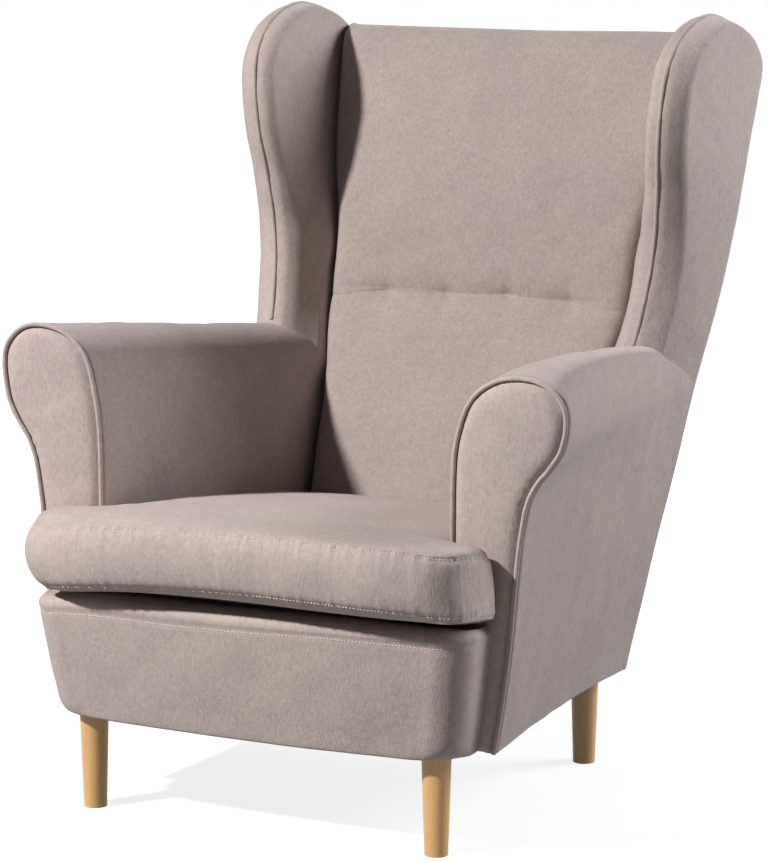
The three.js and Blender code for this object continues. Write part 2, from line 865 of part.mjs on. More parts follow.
const armRailTop = (y) => armRailFrontTop - armSlopeShare * (y - armFrontY);
const armRailEndZ = armRailTop(rearY(armRailFrontTop)) - armRailThickness;
const armRailRearY = rearY(armRailEndZ) - railFrontInset - armRailEndGap;

// The wing's edge line moved in by the padding, closed far behind the chair and down at the arm rail.
function wingCoreOutline(gap, footDrop) {
  const line = beside(smooth(wingEdge, wingEdgeRows), gap - wingPadding);
  const upper = line.filter(([, z]) => z > armRailFrontTop);
  const [[frontY]] = upper;
  const [endY] = upper[upper.length - 1];
  const behindY = rearY(uprightTop) + overrun;
  return [
    [frontY, armRailTop(frontY) + footDrop],
    ...upper,
    [endY, uprightTop + gap],
    [behindY, uprightTop + gap],
    [behindY, armRailTop(behindY) + footDrop],
  ];
}

// The upright of the back in side view, grown forward by a gap.
function uprightOutline(gap) {
  return rakedOutline(railRearInset, railFrontInset + gap, frameBottom, uprightTop, uprightSteps);
}

function armPostOutline(gap) {
  return beside(smooth(armSeam, armOutlinePoints), gap - postInset);
}

function addUpperFrame() {
  const postFront = armFrontY;
  const postRear = armFrontY + boardThickness;
  const lowerNotch = [frameOuter + fitGap, postRear + overrun, sideRailTop + fitGap];
  const post = cut(
    boardAcross(armPostOutline(0), postFront, postRear),
    box([0, postFront - overrun, 0], lowerNotch),
    box([0, postFront - overrun, 0], [2 * frameOuter, postRear + overrun, frameBottom + fitGap]),
  );
  pair("arm_post", post, "frame");
  const railFrontY = postRear + fitGap;
  const railOutline = [
    [railFrontY, armRailTop(railFrontY) - armRailThickness],
    [armRailRearY, armRailTop(armRailRearY) - armRailThickness],
    [armRailRearY, armRailTop(armRailRearY)],
    [railFrontY, armRailTop(railFrontY)],
  ];
  const railFaces = [armRailInner, slotTopOuter - fitGap].map((x) =>
    railOutline.map(([y, z]) => new THREE.Vector3(x, y, z)),
  );
  pair("arm_rail", loft(railFaces, "y", "z"), "frame");
  const wingBoard = cut(boardAlong(wingCoreOutline(0, fitGap)), behind(beforeFrameInset, wideHalf));
  pair("wing_board", wingBoard, "frame");
  pair("back_upright", boardAlong(uprightOutline(0)), "frame");
  piece(
    "back_top_rail",
    backRail(topRailBottom, topRailTop, railRearInset, railFrontInset, -fitGap),
    "frame",
  );
  piece(
    "back_bottom_rail",
    backRail(bottomRailBottom, bottomRailTop, railRearInset, railFrontInset, -fitGap),
    "frame",
  );
  const bandRear = railFrontInset + fitGap;
  Object.entries(webbingPlaces).forEach(([name, z]) => {
    const band = backRail(z, z + webbingWidth, bandRear, bandRear + webbingThickness, webbingReach);
    piece("back_webbing_" + name, band, "webbing");
  });
}

// Arms

// The arm from its front to the rear line, a scroll that fades into a flat side; grown by a gap.
function armBody(gap) {
  const front = beside(smooth(armSeam, armOutlinePoints), armEdge + gap);
  const rear = beside(smooth(armRearOutline, armOutlinePoints), gap);
  const outerFrom = Math.round((armOutlinePoints * armTopPoint) / (armSeam.length - 1));
  const rings = armStationShares.map((share) =>
    front.map(([frontX, frontZ], i) => {
      const [endX, endZ] = rear[i];
      const fade = i > outerFrom ? 1 - (1 - share) ** armFadePower : share;
      const z = Math.max(mix(frontZ, endZ, share ** armDropPower), baseBottom - gap);
      const y = mix(armFrontY - gap, rearY(z) - coverThickness - fitGap + gap, share);
      return new THREE.Vector3(mix(frontX, endX, fade), y, z);
    }),
  );
  return loft(rings);
}

// The hollow of the arm for its frame, open below and behind.
function armSlot() {
  const slotFrontY = armFrontY + boardThickness - fitGap;
  const bottom = baseBottom - overrun;
  const frontTop = armRailTop(slotFrontY) + fitGap;
  const rearTop = armRailTop(slotRearY) + fitGap;
  const ring = (y, inner, footOuter, top) => [
    new THREE.Vector3(inner, y, bottom),
    new THREE.Vector3(footOuter, y, bottom),
    new THREE.Vector3(footOuter, y, baseBottom),
    new THREE.Vector3(slotTopOuter, y, top - armRailThickness - 2 * fitGap),
    new THREE.Vector3(slotTopOuter, y, top),
    new THREE.Vector3(armRailInner - fitGap, y, top),
    new THREE.Vector3(armRailInner - fitGap, y, top - armRailThickness - 2 * fitGap),
    new THREE.Vector3(inner, y, top - slotChamfer),
  ];
  return loft([
    ring(slotFrontY, slotFrontInner, slotFrontOuter, frontTop),
    ring(slotRearY, slotRearInner, slotRearOuter, rearTop),
  ]);
}

// Everything behind the rear line moved forward by an inset, as wide as a rule for its half width says.
function behind(inset, halfAt) {
  const rings = rakeLevels.map((z) => {
    const half = halfAt(z);
    const front = rearY(z) - inset;
    return [
      new THREE.Vector3(-half, front, z),
      new THREE.Vector3(half, front, z),
      new THREE.Vector3(half, front + 2 * overrun, z),
      new THREE.Vector3(-half, front + 2 * overrun, z),
    ];
  });
  return loft(rings, "x", "y");
}

const wideHalf = () => 2 * frameOuter;
const backRoom = () => behind(beforeFrameInset + fitGap, (z) => sideFrameX(z) + fitGap);
const coverRoom = () => behind(railRearInset, wideHalf);

function addArms() {
  const pocketFrontY = armFrontY - overrun;
  const pocketRearY = armFrontY + boardThickness + fitGap;
  const underSeat = [underSeatHalfWidth, slotRearY, sideRailTop + fitGap];
  const pad = cut(
    armBody(0),
    boardAcross(armPostOutline(fitGap), pocketFrontY, pocketRearY),
    armSlot(),
    box([0, pocketFrontY, 0], underSeat),
    boardAlong(wingCoreOutline(fitGap, -overrun), fitGap),
    boardAlong(uprightOutline(fitGap), fitGap),
    backRoom(),
    coverRoom(),
  );
  pair("arm_pad", pad, "cover");
  const seam = smooth(armSeam, armOutlinePoints);
  const facing = cut(
    boardAcross(beside(seam, -fitGap), facingFrontY, armFrontY - fitGap),
    box([0, pocketFrontY, 0], [frameOuter + fitGap, pocketRearY, sideRailTop + fitGap]),
  );
  pair("arm_facing", facing, "cover");
  const cord = beside(seam, pipingRadius + fitGap / 2).filter(
    ([x, z]) => x > sideFrameInner || z > deckFrontHeight,
  );
  const cordLine = cord.map(([x, z]) => new THREE.Vector3(x, pipingY, z));
  pair("arm_piping", wire(cordLine, new THREE.Vector3(0, 1, 0), pipingRadius, pipingSides), "cover");
}

// Wings

// Y of the wing's front edge at a height.
const wingFrontLine = wingEdge.slice(0, wingFrontPoints).map(([y, z]) => [z, y]);
const wingFrontY = (z) => between(wingFrontLine, z);

function wingInnerX(y, z) {
  const front = wingFrontY(z);
  const share = limit((y - front) / Math.max(backFaceY(z) - front, wingLeastDepth), 0, 1);
  return mix(rimX(z) - wingShoulderIn, junctionX(z), share);
}

function wingOuterX(y, z) {
  const front = wingFrontY(z);
  const share = limit((y - front) / (rearY(z) - front), 0, 1);
  const [swellFrom, swellTo] = earSwellShares.map(upWing);
  const out = mix(wingShoulderOut, earShoulderOut, limit((z - swellFrom) / (swellTo - swellFrom), 0, 1));
  return mix(rimX(z) + out, sideX(z), share ** wingFadePower);
}

function wingRow(row, rowsToTurn, edge) {
  const [edgeY, edgeZ] = edge[row];
  const left = limit((row - rowsToTurn) / (edge.length - 1 - rowsToTurn), 0, 1);
  const rearZ = left > 0 ? mix(wingRearTurn, edge[edge.length - 1][1], left) : edgeZ;
  const rearEndY = rearY(rearZ) - coverThickness - fitGap;
  const inner = [];
  const outer = [];
  wingColumnShares.forEach((share) => {
    const y = mix(edgeY, rearEndY, share);
    const z = mix(edgeZ, rearZ, share);
    const depth = limit(Math.hypot(y - edgeY, z - edgeZ) / wingRound, 0, 1);
    const full = Math.sqrt(1 - (1 - depth) ** 2);
    const rim = rimX(edgeZ);
    inner.push(new THREE.Vector3(mix(rim, wingInnerX(y, z), full), y, z));
    outer.push(new THREE.Vector3(mix(rim, wingOuterX(y, z), full), y, z));
  });
  return [...inner.reverse(), ...outer.slice(1)];
}

function wingBody() {
  const edge = smooth(wingEdge, wingEdgeRows);
  edge[edge.length - 1][0] = rearY(edge[edge.length - 1][1]) - coverThickness - fitGap;
  const rowsToTurn = edge.findIndex(([, z]) => z > wingRearTurn) - 1;
  const rows = edge.map((_, row) => wingRow(row, rowsToTurn, edge));
  return loft(rows, "x", "y");
}

function addWings() {
  const wing = cut(
    wingBody(),
    armBody(fitGap),
    boardAlong(wingCoreOutline(fitGap, -overrun), fitGap),
    backRoom(),
    coverRoom(),
  );
  pair("wing_pad", wing, "cover");
  const edge = beside(smooth(wingEdge, wingEdgeRows), pipingRadius + fitGap);
  const cord = edge.filter(([y, z]) => z > (y < earBackY ? wingPipingStart : wingPipingEnd));
  const cordLine = cord.map(([y, z]) => new THREE.Vector3(rimX(z), y, z));
  pair("wing_piping", wire(cordLine, new THREE.Vector3(1, 0, 0), pipingRadius, pipingSides), "cover");
}

// Back

// How far the padding stands forward of the straight face, below the seam and above it.
function backBulge(z) {
  if (z < backSeamHeight) {
    return lumbarBulge * Math.sin(Math.PI * limit((z - lumbarFrom) / (backSeamHeight - lumbarFrom), 0, 1));
  }
  const share = limit((z - backSeamHeight) / (bodyTop - backSeamHeight), 0, 1);
  return upperBulge * Math.sin(Math.PI * share) ** upperBulgePower;
}

// How far the seam and its tufts draw the face of the back in.
function seamDepth(x, z) {
  const bell = (offset, halfWidth) => Math.exp(-((offset / halfWidth) ** 2));
  const tufts = tuftPlaces.reduce((sum, place) => sum + tuftDraw * bell(x - place, tuftHalfWidth), 0);
  return (seamDraw + tufts) * bell(z - backSeamHeight, seamHalfHeight);
}

// Half width of the back pad: between the arms below, and between the wings above.
function backHalf(z) {
  return z > backMiddleHeight ? junctionX(z) - backPadGap : between(backLowerHalves, z);
}

// A level section of the back pad; its top is rounded over from the front and further from the rear.
function backRing(z) {
  const half = backHalf(z);
  const frontLift = limit((z - backTopHeight) / backFrontRound + 1, 0, 1);
  const frontRound = backFrontRound * (1 - Math.sqrt(1 - frontLift ** 2));
  const rearLift = limit((z - topRailTop) / (backTopHeight - topRailTop), 0, 1);
  const rearRound = backRearRound * (1 - Math.sqrt(1 - rearLift ** 2));
  const face = backFaceY(z) + frontRound;
  const columns = [...backColumns.slice(1).reverse().map((x) => -x), ...backColumns];
  const front = columns.map((x) => {
    const share = 1 - Math.abs(x / half) ** edgePower;
    return new THREE.Vector3(x, face - backBulge(z) * share + seamDepth(x, z), z);
  });
  const hooded = z > topRailTop + fitGap / 2;
  const back = rearY(z) - (hooded ? railRearInset : beforeFrameInset) - rearRound;
  const edges = [
    [half - backEdgeIn, face + backEdgeBack],
    [half, Math.min(face + backEdgeDeep, (face + back) / 2)],
    [half, back],
  ];
  const right = edges.map(([x, y]) => new THREE.Vector3(x, y, z));
  const left = [...edges].reverse().map(([x, y]) => new THREE.Vector3(-x, y, z));
  return [...front, ...right, ...left];
}

function addBack() {
  const hood = [topRailTop + fitGap / 2, topRailTop + fitGap, ...backHoodLevels];
  piece("back_pad", loft([...backLevels, ...hood].map(backRing), "x", "y"), "cover");
  const rings = outsideLevels.map((z) => {
    const tuck = limit((z - outsideTuckFrom) / (outsideBackTop - outsideTuckFrom), 0, 1);
    const half = mix(sideX(z) - fitGap, junctionX(z) - backPadGap, 1 - Math.sqrt(1 - tuck ** 2));
    return [
      new THREE.Vector3(-half, rearY(z) - coverThickness, z),
      new THREE.Vector3(half, rearY(z) - coverThickness, z),
      new THREE.Vector3(half, rearY(z), z),
      new THREE.Vector3(-half, rearY(z), z),
    ];
  });
  piece("outside_back", loft(rings, "x", "y"), "cover");
}

// Base apron, deck and dust cover

// Plan outline of the apron at a height, with rounded front corners and a slight bow.
function apronRing(z, inset, rearEndY = apronRearY) {
  const rise = limit((z - baseBottom) / (deckFrontHeight - baseBottom), 0, 1);
  const half = mix(apronBottomHalfWidth, apronTopHalfWidth, rise) - inset;
  const front = mix(apronBottomFrontY, apronTopFrontY, rise) + inset;
  const bowed = apronBowShares.map((share) => {
    const x = share * (half - apronCornerRadius);
    return [x, front - apronBow * (1 - share * share)];
  });
  const corner = (side, share) => [
    side * (half - apronCornerRadius + apronCornerRadius * Math.sin((share * Math.PI) / 2)),
    front + apronCornerRadius * (1 - Math.cos((share * Math.PI) / 2)),
  ];
  const outline = [
    [-half, rearEndY],
    ...[...apronCornerShares].reverse().map((share) => corner(-1, share)),
    ...bowed,
    ...apronCornerShares.map((share) => corner(1, share)),
    [half, rearEndY],
  ];
  return outline.map(([x, y]) => new THREE.Vector3(x, y, Math.min(z, deckZ(y))));
}

// The room inside the apron, carried on to the rear of the chair.
function apronInside(thickness) {
  const levels = [0, baseBottom, deckFrontHeight];
  return loft(levels.map((z) => apronRing(z, thickness, rearRailRearY)), "x", "y");
}

function addBase() {
  const edge = apronEdgeRadius;
  const topZ = deckZ(apronTopFrontY);
  const levels = [
    [baseBottom, apronFootInset],
    [baseBottom + apronFootHeight, 0],
    ...apronSwellShares.map((share) => [mix(baseBottom, deckFrontHeight, share), -apronSwell]),
    [topZ - edge, 0],
    [topZ - edge * edgeLiftShare, edge * edgeInsetShare],
    [topZ, edge],
  ];
  const body = loft(levels.map(([z, inset]) => apronRing(z, inset)), "x", "y");
  const reach = 2 * frameOuter;
  const roomFrontY = frontRailFrontY - fitGap;
  const roomRearY = apronRearY + overrun;
  const roomLift = clipWall + deckSlopeShare * clipHalfDepth + fitGap;
  const room = [-reach, reach].map((x) =>
    [
      [roomFrontY, 0],
      [roomRearY, 0],
      [roomRearY, deckUnderZ(roomRearY) + roomLift],
      [roomFrontY, deckUnderZ(roomFrontY) + roomLift],
    ].map(([y, z]) => new THREE.Vector3(x, y, z)),
  );
  const hollow = common(apronInside(apronThickness), loft(room, "y", "z"));
  piece("base_apron", cut(body, hollow), "cover");
  const deckFrontY = apronRearY + fitGap;
  const deckRings = [deckFrontY, deckRearY].map((y) => {
    const half = armInnerX(y, sideRailTop) - 2 * fitGap;
    return [
      new THREE.Vector3(-half, y, deckUnderZ(y)),
      new THREE.Vector3(half, y, deckUnderZ(y)),
      new THREE.Vector3(half, y, deckZ(y)),
      new THREE.Vector3(-half, y, deckZ(y)),
    ];
  });
  piece("seat_deck", loft(deckRings), "cover");
}

// The room for the sheet under the frame: inside the apron, and free behind the arms' front panels.
function sheetRoom() {
  const reach = 2 * frameOuter;
  const behindFacings = box([-reach, armFrontY, 0], [reach, rearRailRearY, frameBottom]);
  const inside = solid(apronInside(apronThickness + sheetEdgeGap));
  return plainGeometry(inside.add(solid(behindFacings)));
}

// The sheet under the frame, wider behind the arms' front panels, with a hole round each leg.
function addDustCover() {
  const top = frameBottom - fitGap;
  const frontHalf = frameOuter - sheetEdgeGap;
  const frontY = frontRailFrontY + sheetEdgeGap;
  const stepY = armFrontY + sheetEdgeGap;
  const rearEndY = rearY(baseBottom) - coverThickness - sheetEdgeGap;
  const taper = throughTwo([armFrontY + boardThickness, slotFrontOuter], [slotRearY, slotRearOuter]);
  const right = [
    [frontHalf, frontY],
    [frontHalf, stepY],
    [slotFrontOuter - sheetEdgeGap, stepY],
    [slotFrontOuter - sheetEdgeGap, armFrontY + boardThickness],
    [taper(rearEndY) - sheetEdgeGap, rearEndY],
  ];
  const outline = [...right, ...[...right].reverse().map(([x, y]) => [-x, y])];
  const faces = [top - sheetThickness, top].map((z) => outline.map(([x, y]) => new THREE.Vector3(x, y, z)));
  const corners = common(loft(faces, "x", "y"), sheetRoom());
  const holes = [-1, 1].flatMap((side) =>
    [legFrontY, legRearY].map((y) =>
      rod(legTopRadius + sheetHoleGap, 0, 2 * frameBottom, sheetHoleSides).translate(side * legAcross, y, 0),
    ),
  );
  piece("dust_cover", cut(corners, ...holes), "dustCover");
}

// Seat cushion

// X of the arm's inner face at seat height.
function armInnerX(y, z) {
  const share = (y - armFrontY) / (rearY(z) - railRearInset - armFrontY);
  return mix(armInner - armEdge, armRearOutline[0][0], limit(share, 0, 1));
}

// A section across the cushion: its place along Y, half width, rise of the underside and drop of the top.
function cushionRing([y, half, bottomLift, topDrop]) {
  const bottom = deckZ(y) + fitGap + bottomLift;
  const top = deckZ(y) + fitGap + cushionHeight - topDrop;
  const round = Math.min((top - bottom) * sideRoundShare, half * endRoundShare);
  const flat = half - round;
  const lengthShare = limit(1 - ((y - crownCentreY) / crownReach) ** 2, 0, 1);
  const arch = cushionArch * limit(bottomLift / archFullLift, 0, 1);
  const below = cushionShares.map((share) => [share * flat, bottom + arch * (1 - share * share)]);
  const above = [...cushionShares].reverse().map((share) => {
    const crown = cushionCrown * (1 - share * share) ** crownPower * lengthShare;
    return [share * flat, top + crown];
  });
  const rise = round * Math.SQRT1_2;
  const rightSide = [
    [flat + rise, bottom + round - rise],
    [half, (bottom + top) / 2],
    [flat + rise, top - round + rise],
  ];
  const leftSide = [...rightSide].reverse().map(([x, z]) => [-x, z]);
  return [...below, ...rightSide, ...above, ...leftSide].map(([x, z]) => new THREE.Vector3(x, y, z));
}

function addCushion() {
  const neck = (y) => armInnerX(y, deckZ(y)) - cushionNeckGap;
  const shoulder = cushionShoulderY;
  const neckStations = [
    [shoulder + neckStart, neckRound, 0],
    [shoulder + neckFull, 0, 0],
    ...neckPlaces.map((y) => [y, 0, 0]),
    [cushionRearTurn, rearTurnIn, rearTurnRound],
    [cushionRearY, cushionRearIn, cushionRearRound],
  ];
  const stations = [
    ...cushionNose,
    [shoulder - shoulderTurn, cushionHalfWidth, 0, 0],
    [shoulder, cushionHalfWidth - shoulderRound, shoulderEdge, shoulderEdge],
    ...neckStations.map(([y, less, lift]) => [y, neck(y) - less, lift, lift]),
  ];
  piece("seat_cushion", loft(stations.map(cushionRing)), "cover");
}

addLegs();
addSeatFrame();
addSprings();
addUpperFrame();
addArms();
addWings();
addBack();
addBase();
addDustCover();
addCushion();

const part = new THREE.Group();
part.add(chair);

export default part;
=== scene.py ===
import json
import math

import bmesh
import bpy
import numpy as np
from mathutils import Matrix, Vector, bvhtree, geometry


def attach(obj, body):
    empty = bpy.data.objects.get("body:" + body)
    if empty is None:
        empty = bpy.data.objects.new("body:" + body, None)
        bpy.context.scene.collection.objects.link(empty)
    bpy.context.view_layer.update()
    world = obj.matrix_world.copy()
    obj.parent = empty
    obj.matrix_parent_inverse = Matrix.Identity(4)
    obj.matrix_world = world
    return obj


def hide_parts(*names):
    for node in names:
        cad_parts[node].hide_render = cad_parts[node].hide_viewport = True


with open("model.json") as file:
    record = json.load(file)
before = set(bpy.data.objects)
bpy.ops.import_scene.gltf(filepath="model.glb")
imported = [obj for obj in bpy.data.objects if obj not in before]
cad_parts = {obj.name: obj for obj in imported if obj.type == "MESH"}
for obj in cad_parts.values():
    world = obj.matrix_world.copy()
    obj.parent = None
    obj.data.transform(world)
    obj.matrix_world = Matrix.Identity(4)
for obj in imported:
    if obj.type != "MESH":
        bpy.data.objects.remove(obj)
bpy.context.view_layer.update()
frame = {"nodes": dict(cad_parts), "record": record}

# The chair's lines are written in millimetres from the same origin as its solids were drawn,
# and moved to the frame in metres when a piece is made.
MILLIMETRE = 0.001
ORIGIN_Y = -77.007
GAP = 0.3
QUARTER_TURN = math.pi / 2
TINY = 1e-9

# In the tables of this script a bump is a height, a middle and a half width, a ripple is a height,
# a pitch and a seed, a swell is a height and a reach, a band is its start and its width, which is
# below zero where the band runs the other way, and a drop is a height and a band.

# Body
BASE_BOTTOM = 131
FRAME_BOTTOM = 137
COVER = 5.3
DECK_HEIGHT = 298
DECK_FRONT = -340
DECK_SLOPE = 0.09
REAR_LINE = ((131, 215), (540, 378), (985, 598))
REAR_BUMPS = ((3, 770, 130), (6, 630, 110))
SIDE_LINE = ((131, 300), (540, 339), (985, 355))
SIDE_BUMPS = ((5, 740, 130), (4, 620, 110), (-2, 290, 110))
RIM_LINE = ((600, 284), (800, 304), (1000, 319))
JUNCTION_LINE = ((610, 236), (980, 293))
JUNCTION_BUMPS = ((4, 590, 50), (-7, 710, 70))
BACK_SEAM_Z = 617
BACK_SEAM_Y = 327
BACK_TOP_Z = 985
BACK_TOP_Y = 502
BACK_FOOT_Y = 195
BACK_HOLLOW = ((26, 600, 120),)


def mix(a, b, share):
    return a + (b - a) * share


def soft_step(value):
    value = np.clip(value, 0, 1)
    return value * value * (3 - 2 * value)


def bell(offset, half_width):
    return np.exp(-((offset / half_width) ** 2))


def bumps(place, table):
    return sum(height * bell(place - middle, half_width) for height, middle, half_width in table)


def fading(distance, reach):
    return np.exp(-distance / reach)


def swelling(distance, height, reach):
    return height * (1 - fading(distance, reach))


def rising(value, start, width):
    """A soft step from 0 at the start of a band to 1 at its end."""
    return soft_step((value - start) / width)


def through_two(points):
    """The straight line through two points."""
    (a, fa), (b, fb) = points
    return lambda value: mix(fa, fb, (value - a) / (b - a))


def through_three(points):
    """The parabola through three points."""
    (a, fa), (b, fb), (c, fc) = points
    first = (fb - fa) / (b - a)
    second = ((fc - fb) / (c - b) - first) / (c - a)
    return lambda value: fa + (value - a) * (first + second * (value - b))


plain_rear_y = through_three(REAR_LINE)
plain_side_x = through_three(SIDE_LINE)
plain_junction_x = through_two(JUNCTION_LINE)
plain_back_y = through_two(((BACK_SEAM_Z, BACK_SEAM_Y), (BACK_TOP_Z, BACK_TOP_Y)))
rim_x = through_three(RIM_LINE)


def rear_y(z):
    """The chair's rear line, a little fuller behind the wings."""
    return plain_rear_y(z) + bumps(z, REAR_BUMPS)


def side_x(z):
    """The side line, a little fuller at the foot of the wings and flatter below the arms."""
    return plain_side_x(z) + bumps(z, SIDE_BUMPS)


def junction_x(z):
    """Half the width of the back between the wings."""
    return plain_junction_x(z) + bumps(z, JUNCTION_BUMPS)


def deck_z(y):
    return DECK_HEIGHT - DECK_SLOPE * (y - DECK_FRONT)


def back_face_y(z):
    """How far back the back's face lies; it is hollow around its seam."""
    return np.maximum(BACK_FOOT_Y, plain_back_y(z)) + bumps(z, BACK_HOLLOW)


def spline(points, count):
    """Points along the smooth curve through the given ones, evenly numbered between them."""
    points = np.array(points, float)
    last = len(points) - 1
    place = np.linspace(0, last, count)
    start = np.minimum(place.astype(int), last - 1)
    share = (place - start)[:, None]
    before = points[np.maximum(start - 1, 0)]
    here = points[start]
    there = points[start + 1]
    after = points[np.minimum(start + 2, last)]
    v0 = (there - before) / 2
    v1 = (after - here) / 2
    cube = 2 * here - 2 * there + v0 + v1
    square = -3 * here + 3 * there - 2 * v0 - v1
    return cube * share ** 3 + square * share ** 2 + v0 * share + here


def unit(vectors):
    return vectors / np.linalg.norm(vectors, axis=1)[:, None]


def beside(line, distance):
    """A line moved sideways, to its left in its own direction."""
    line = np.asarray(line, float)
    step = unit(np.vstack([line[1:], line[-1:]]) - np.vstack([line[:1], line[:-1]]))
    return line + distance * np.stack([-step[:, 1], step[:, 0]], axis=1)


def evenly(line, pitch):
    """Points along a line at an even pitch, with how far along each one lies."""
    line = np.asarray(line, float)
    along = np.concatenate([[0], np.cumsum(np.linalg.norm(np.diff(line, axis=0), axis=1))])
    count = max(int(round(along[-1] / pitch)), 2)
    places = np.linspace(0, along[-1], count + 1)
    return np.stack([np.interp(places, along, line[:, k]) for k in range(line.shape[1])], axis=1), places


def evenly_round(outline, pitch):
    """Points at an even pitch round a closed outline, with how far round each one lies."""
    line, along = evenly(np.vstack([outline, outline[:1]]), pitch)
    return line[:-1], along[:-1]


WAVE_TERMS = 9
WAVE_SPREAD = (0.6, 1.7)


def waves(places, pitch, seed):
    """An uneven smooth ripple from -1 to 1 over points of one, two or three numbers."""
    chance = np.random.default_rng(seed)
    places = np.asarray(places, float)
    if places.ndim == 1:
        places = places[:, None]
    total = np.zeros(len(places))
    for _ in range(WAVE_TERMS):
        way = chance.normal(size=places.shape[1])
        way *= 2 * math.pi / (pitch * chance.uniform(*WAVE_SPREAD)) / np.linalg.norm(way)
        total += np.sin(places @ way + chance.uniform(0, 2 * math.pi))
    return total / math.sqrt(WAVE_TERMS * 2)


def ripples(places, table):
    return sum(height * waves(places, pitch, seed) for height, pitch, seed in table)


# Making pieces

RING_PITCH_SHARE = 0.9
CORD_SIDES = 14
CORD_RIPPLE_SHARE = 0.05
CORD_RIPPLE_PITCH = 22
# no cord runs in this direction, so it gives each of them a direction across it
CORD_OVER = (0.31, 0.17, 0.93)
RIM_CLEAR_SHARE = 0.6
TRIANGLE_HEIGHT_SHARE = math.sqrt(0.75)
JOIN_WITHIN = 1e-6
WELD_WITHIN = 0.00005


def framed(points):
    """Points from millimetres to the frame in metres."""
    points = np.asarray(points, float).reshape(-1, 3)
    return (points + (0, ORIGIN_Y, 0)) * MILLIMETRE


def placed(name, data):
    made = bpy.data.objects.new(name, data)
    bpy.context.scene.collection.objects.link(made)
    return made


def smooth_piece(name, points, faces, material):
    """A smooth piece from points in the frame's metres."""
    mesh = bpy.data.meshes.new(name)
    mesh.from_pydata(np.asarray(points).tolist(), [], [list(face) for face in faces])
    mesh.validate()
    mesh.polygons.foreach_set("use_smooth", [True] * len(mesh.polygons))
    mesh.materials.append(material)
    return placed(name, mesh)


def raw_piece(name, points, faces, material):
    return smooth_piece(name, framed(points), faces, material)


def settle(piece, body, node):
    """Fastens a piece to its body, in place of one node of the frame where it has one."""
    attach(piece, body)
    if node:
        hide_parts(node)
    return piece


def turned(faces):
    return [face[::-1] for face in faces]


def pair(name, points, faces, material, node, moved=None):
    """A piece of the right side and its mirror image on the left."""
    points = np.asarray(points, float).reshape(-1, 3)
    for side, end in ((1, "_right"), (-1, "_left")):
        own = moved(points, side) if moved else points
        piece = raw_piece(name + end, own * (side, 1, 1), faces if side > 0 else turned(faces), material)
        settle(piece, "frame", node + end)


def grid_faces(rows, columns, closed):
    """Four-sided faces between rows of points, wrapping round where the rows are closed."""
    last = columns if closed else columns - 1
    start = np.arange(rows - 1)[:, None] * columns
    here = np.arange(last)[None, :]
    there = (here + 1) % columns
    quads = np.stack([start + here, start + there, start + there + columns, start + here + columns], axis=-1)
    return quads.reshape(-1, 4).tolist()


def normal_of(points, face):
    a, b, c = (points[k] for k in face[:3])
    return np.cross(b - a, c - a)


def sheet_faces(rows, inside=None):
    """Faces between open rows of points, most of them turned away from a point inside."""
    faces = grid_faces(rows.shape[0], rows.shape[1], False)
    if inside is None:
        return faces
    points = rows.reshape(-1, 3)
    outward = sum(np.dot(normal_of(points, face), points[face[0]] - inside) for face in faces)
    return faces if outward > 0 else turned(faces)


def cover(name, rows, inside, finish, node):
    """A piece of cloth over rows of points, in place of one node of the frame."""
    piece = raw_piece(name, rows, sheet_faces(rows, inside), finish)
    return settle(piece, "frame", node)


def hemmed(rows, step):
    """Rows of points with one more all round, moved from the outer ones by a step."""
    rows = np.concatenate([rows[:, :1] + step, rows, rows[:, -1:] + step], axis=1)
    return np.concatenate([rows[:1] + step, rows, rows[-1:] + step])


def at_height(plan, z):
    return np.column_stack([plan, np.full(len(plan), z)])


def raised(rows, normals, lift):
    """Rows of points moved along their normals."""
    return (rows.reshape(-1, 3) + normals.reshape(-1, 3) * lift[:, None]).reshape(rows.shape)


def sheet_over(outline, pitch):
    """Points and triangles that fill an outline of two numbers a point."""
    outline = np.asarray(outline, float)
    low = outline.min(0)
    high = outline.max(0)
    half = pitch / 2
    xs = np.arange(low[0] + half, high[0], pitch)
    ys = np.arange(low[1] + half, high[1], pitch * TRIANGLE_HEIGHT_SHARE)
    grid = np.array([(x + (half if k % 2 else 0), y) for k, y in enumerate(ys) for x in xs])
    grid = grid[inside_of(outline, grid)]
    grid = grid[to_outline(outline, grid)[0] > pitch * RIM_CLEAR_SHARE]
    points = [Vector(p) for p in outline.tolist() + grid.tolist()]
    ring = list(range(len(outline)))
    found = geometry.delaunay_2d_cdt(points, [], [ring], 1, JOIN_WITHIN)
    return np.array([tuple(p) for p in found[0]]), [list(face) for face in found[2]]


def inside_of(outline, points):
    crossings = np.zeros(len(points), int)
    for (ax, ay), (bx, by) in zip(outline, np.roll(outline, -1, axis=0)):
        if ay == by:
            continue
        spans = (ay > points[:, 1]) != (by > points[:, 1])
        crossings += spans & (points[:, 0] < ax + (points[:, 1] - ay) * (bx - ax) / (by - ay))
    return crossings % 2 == 1


def to_outline(outline, points):
    """How far each point is from a closed outline, and how far along it the nearest place lies."""
    best = np.full(len(points), np.inf)
    place = np.zeros(len(points))
    along = 0.0
    for a, b in zip(outline, np.roll(outline, -1, axis=0)):
        step = b - a
        length = np.linalg.norm(step)
        if length == 0:
            continue
        share = np.clip(((points - a) @ step) / length ** 2, 0, 1)
        far = np.linalg.norm(points - a - share[:, None] * step, axis=1)
        nearer = far < best
        best[nearer] = far[nearer]
        place[nearer] = along + share[nearer] * length
        along += length
    return best, place


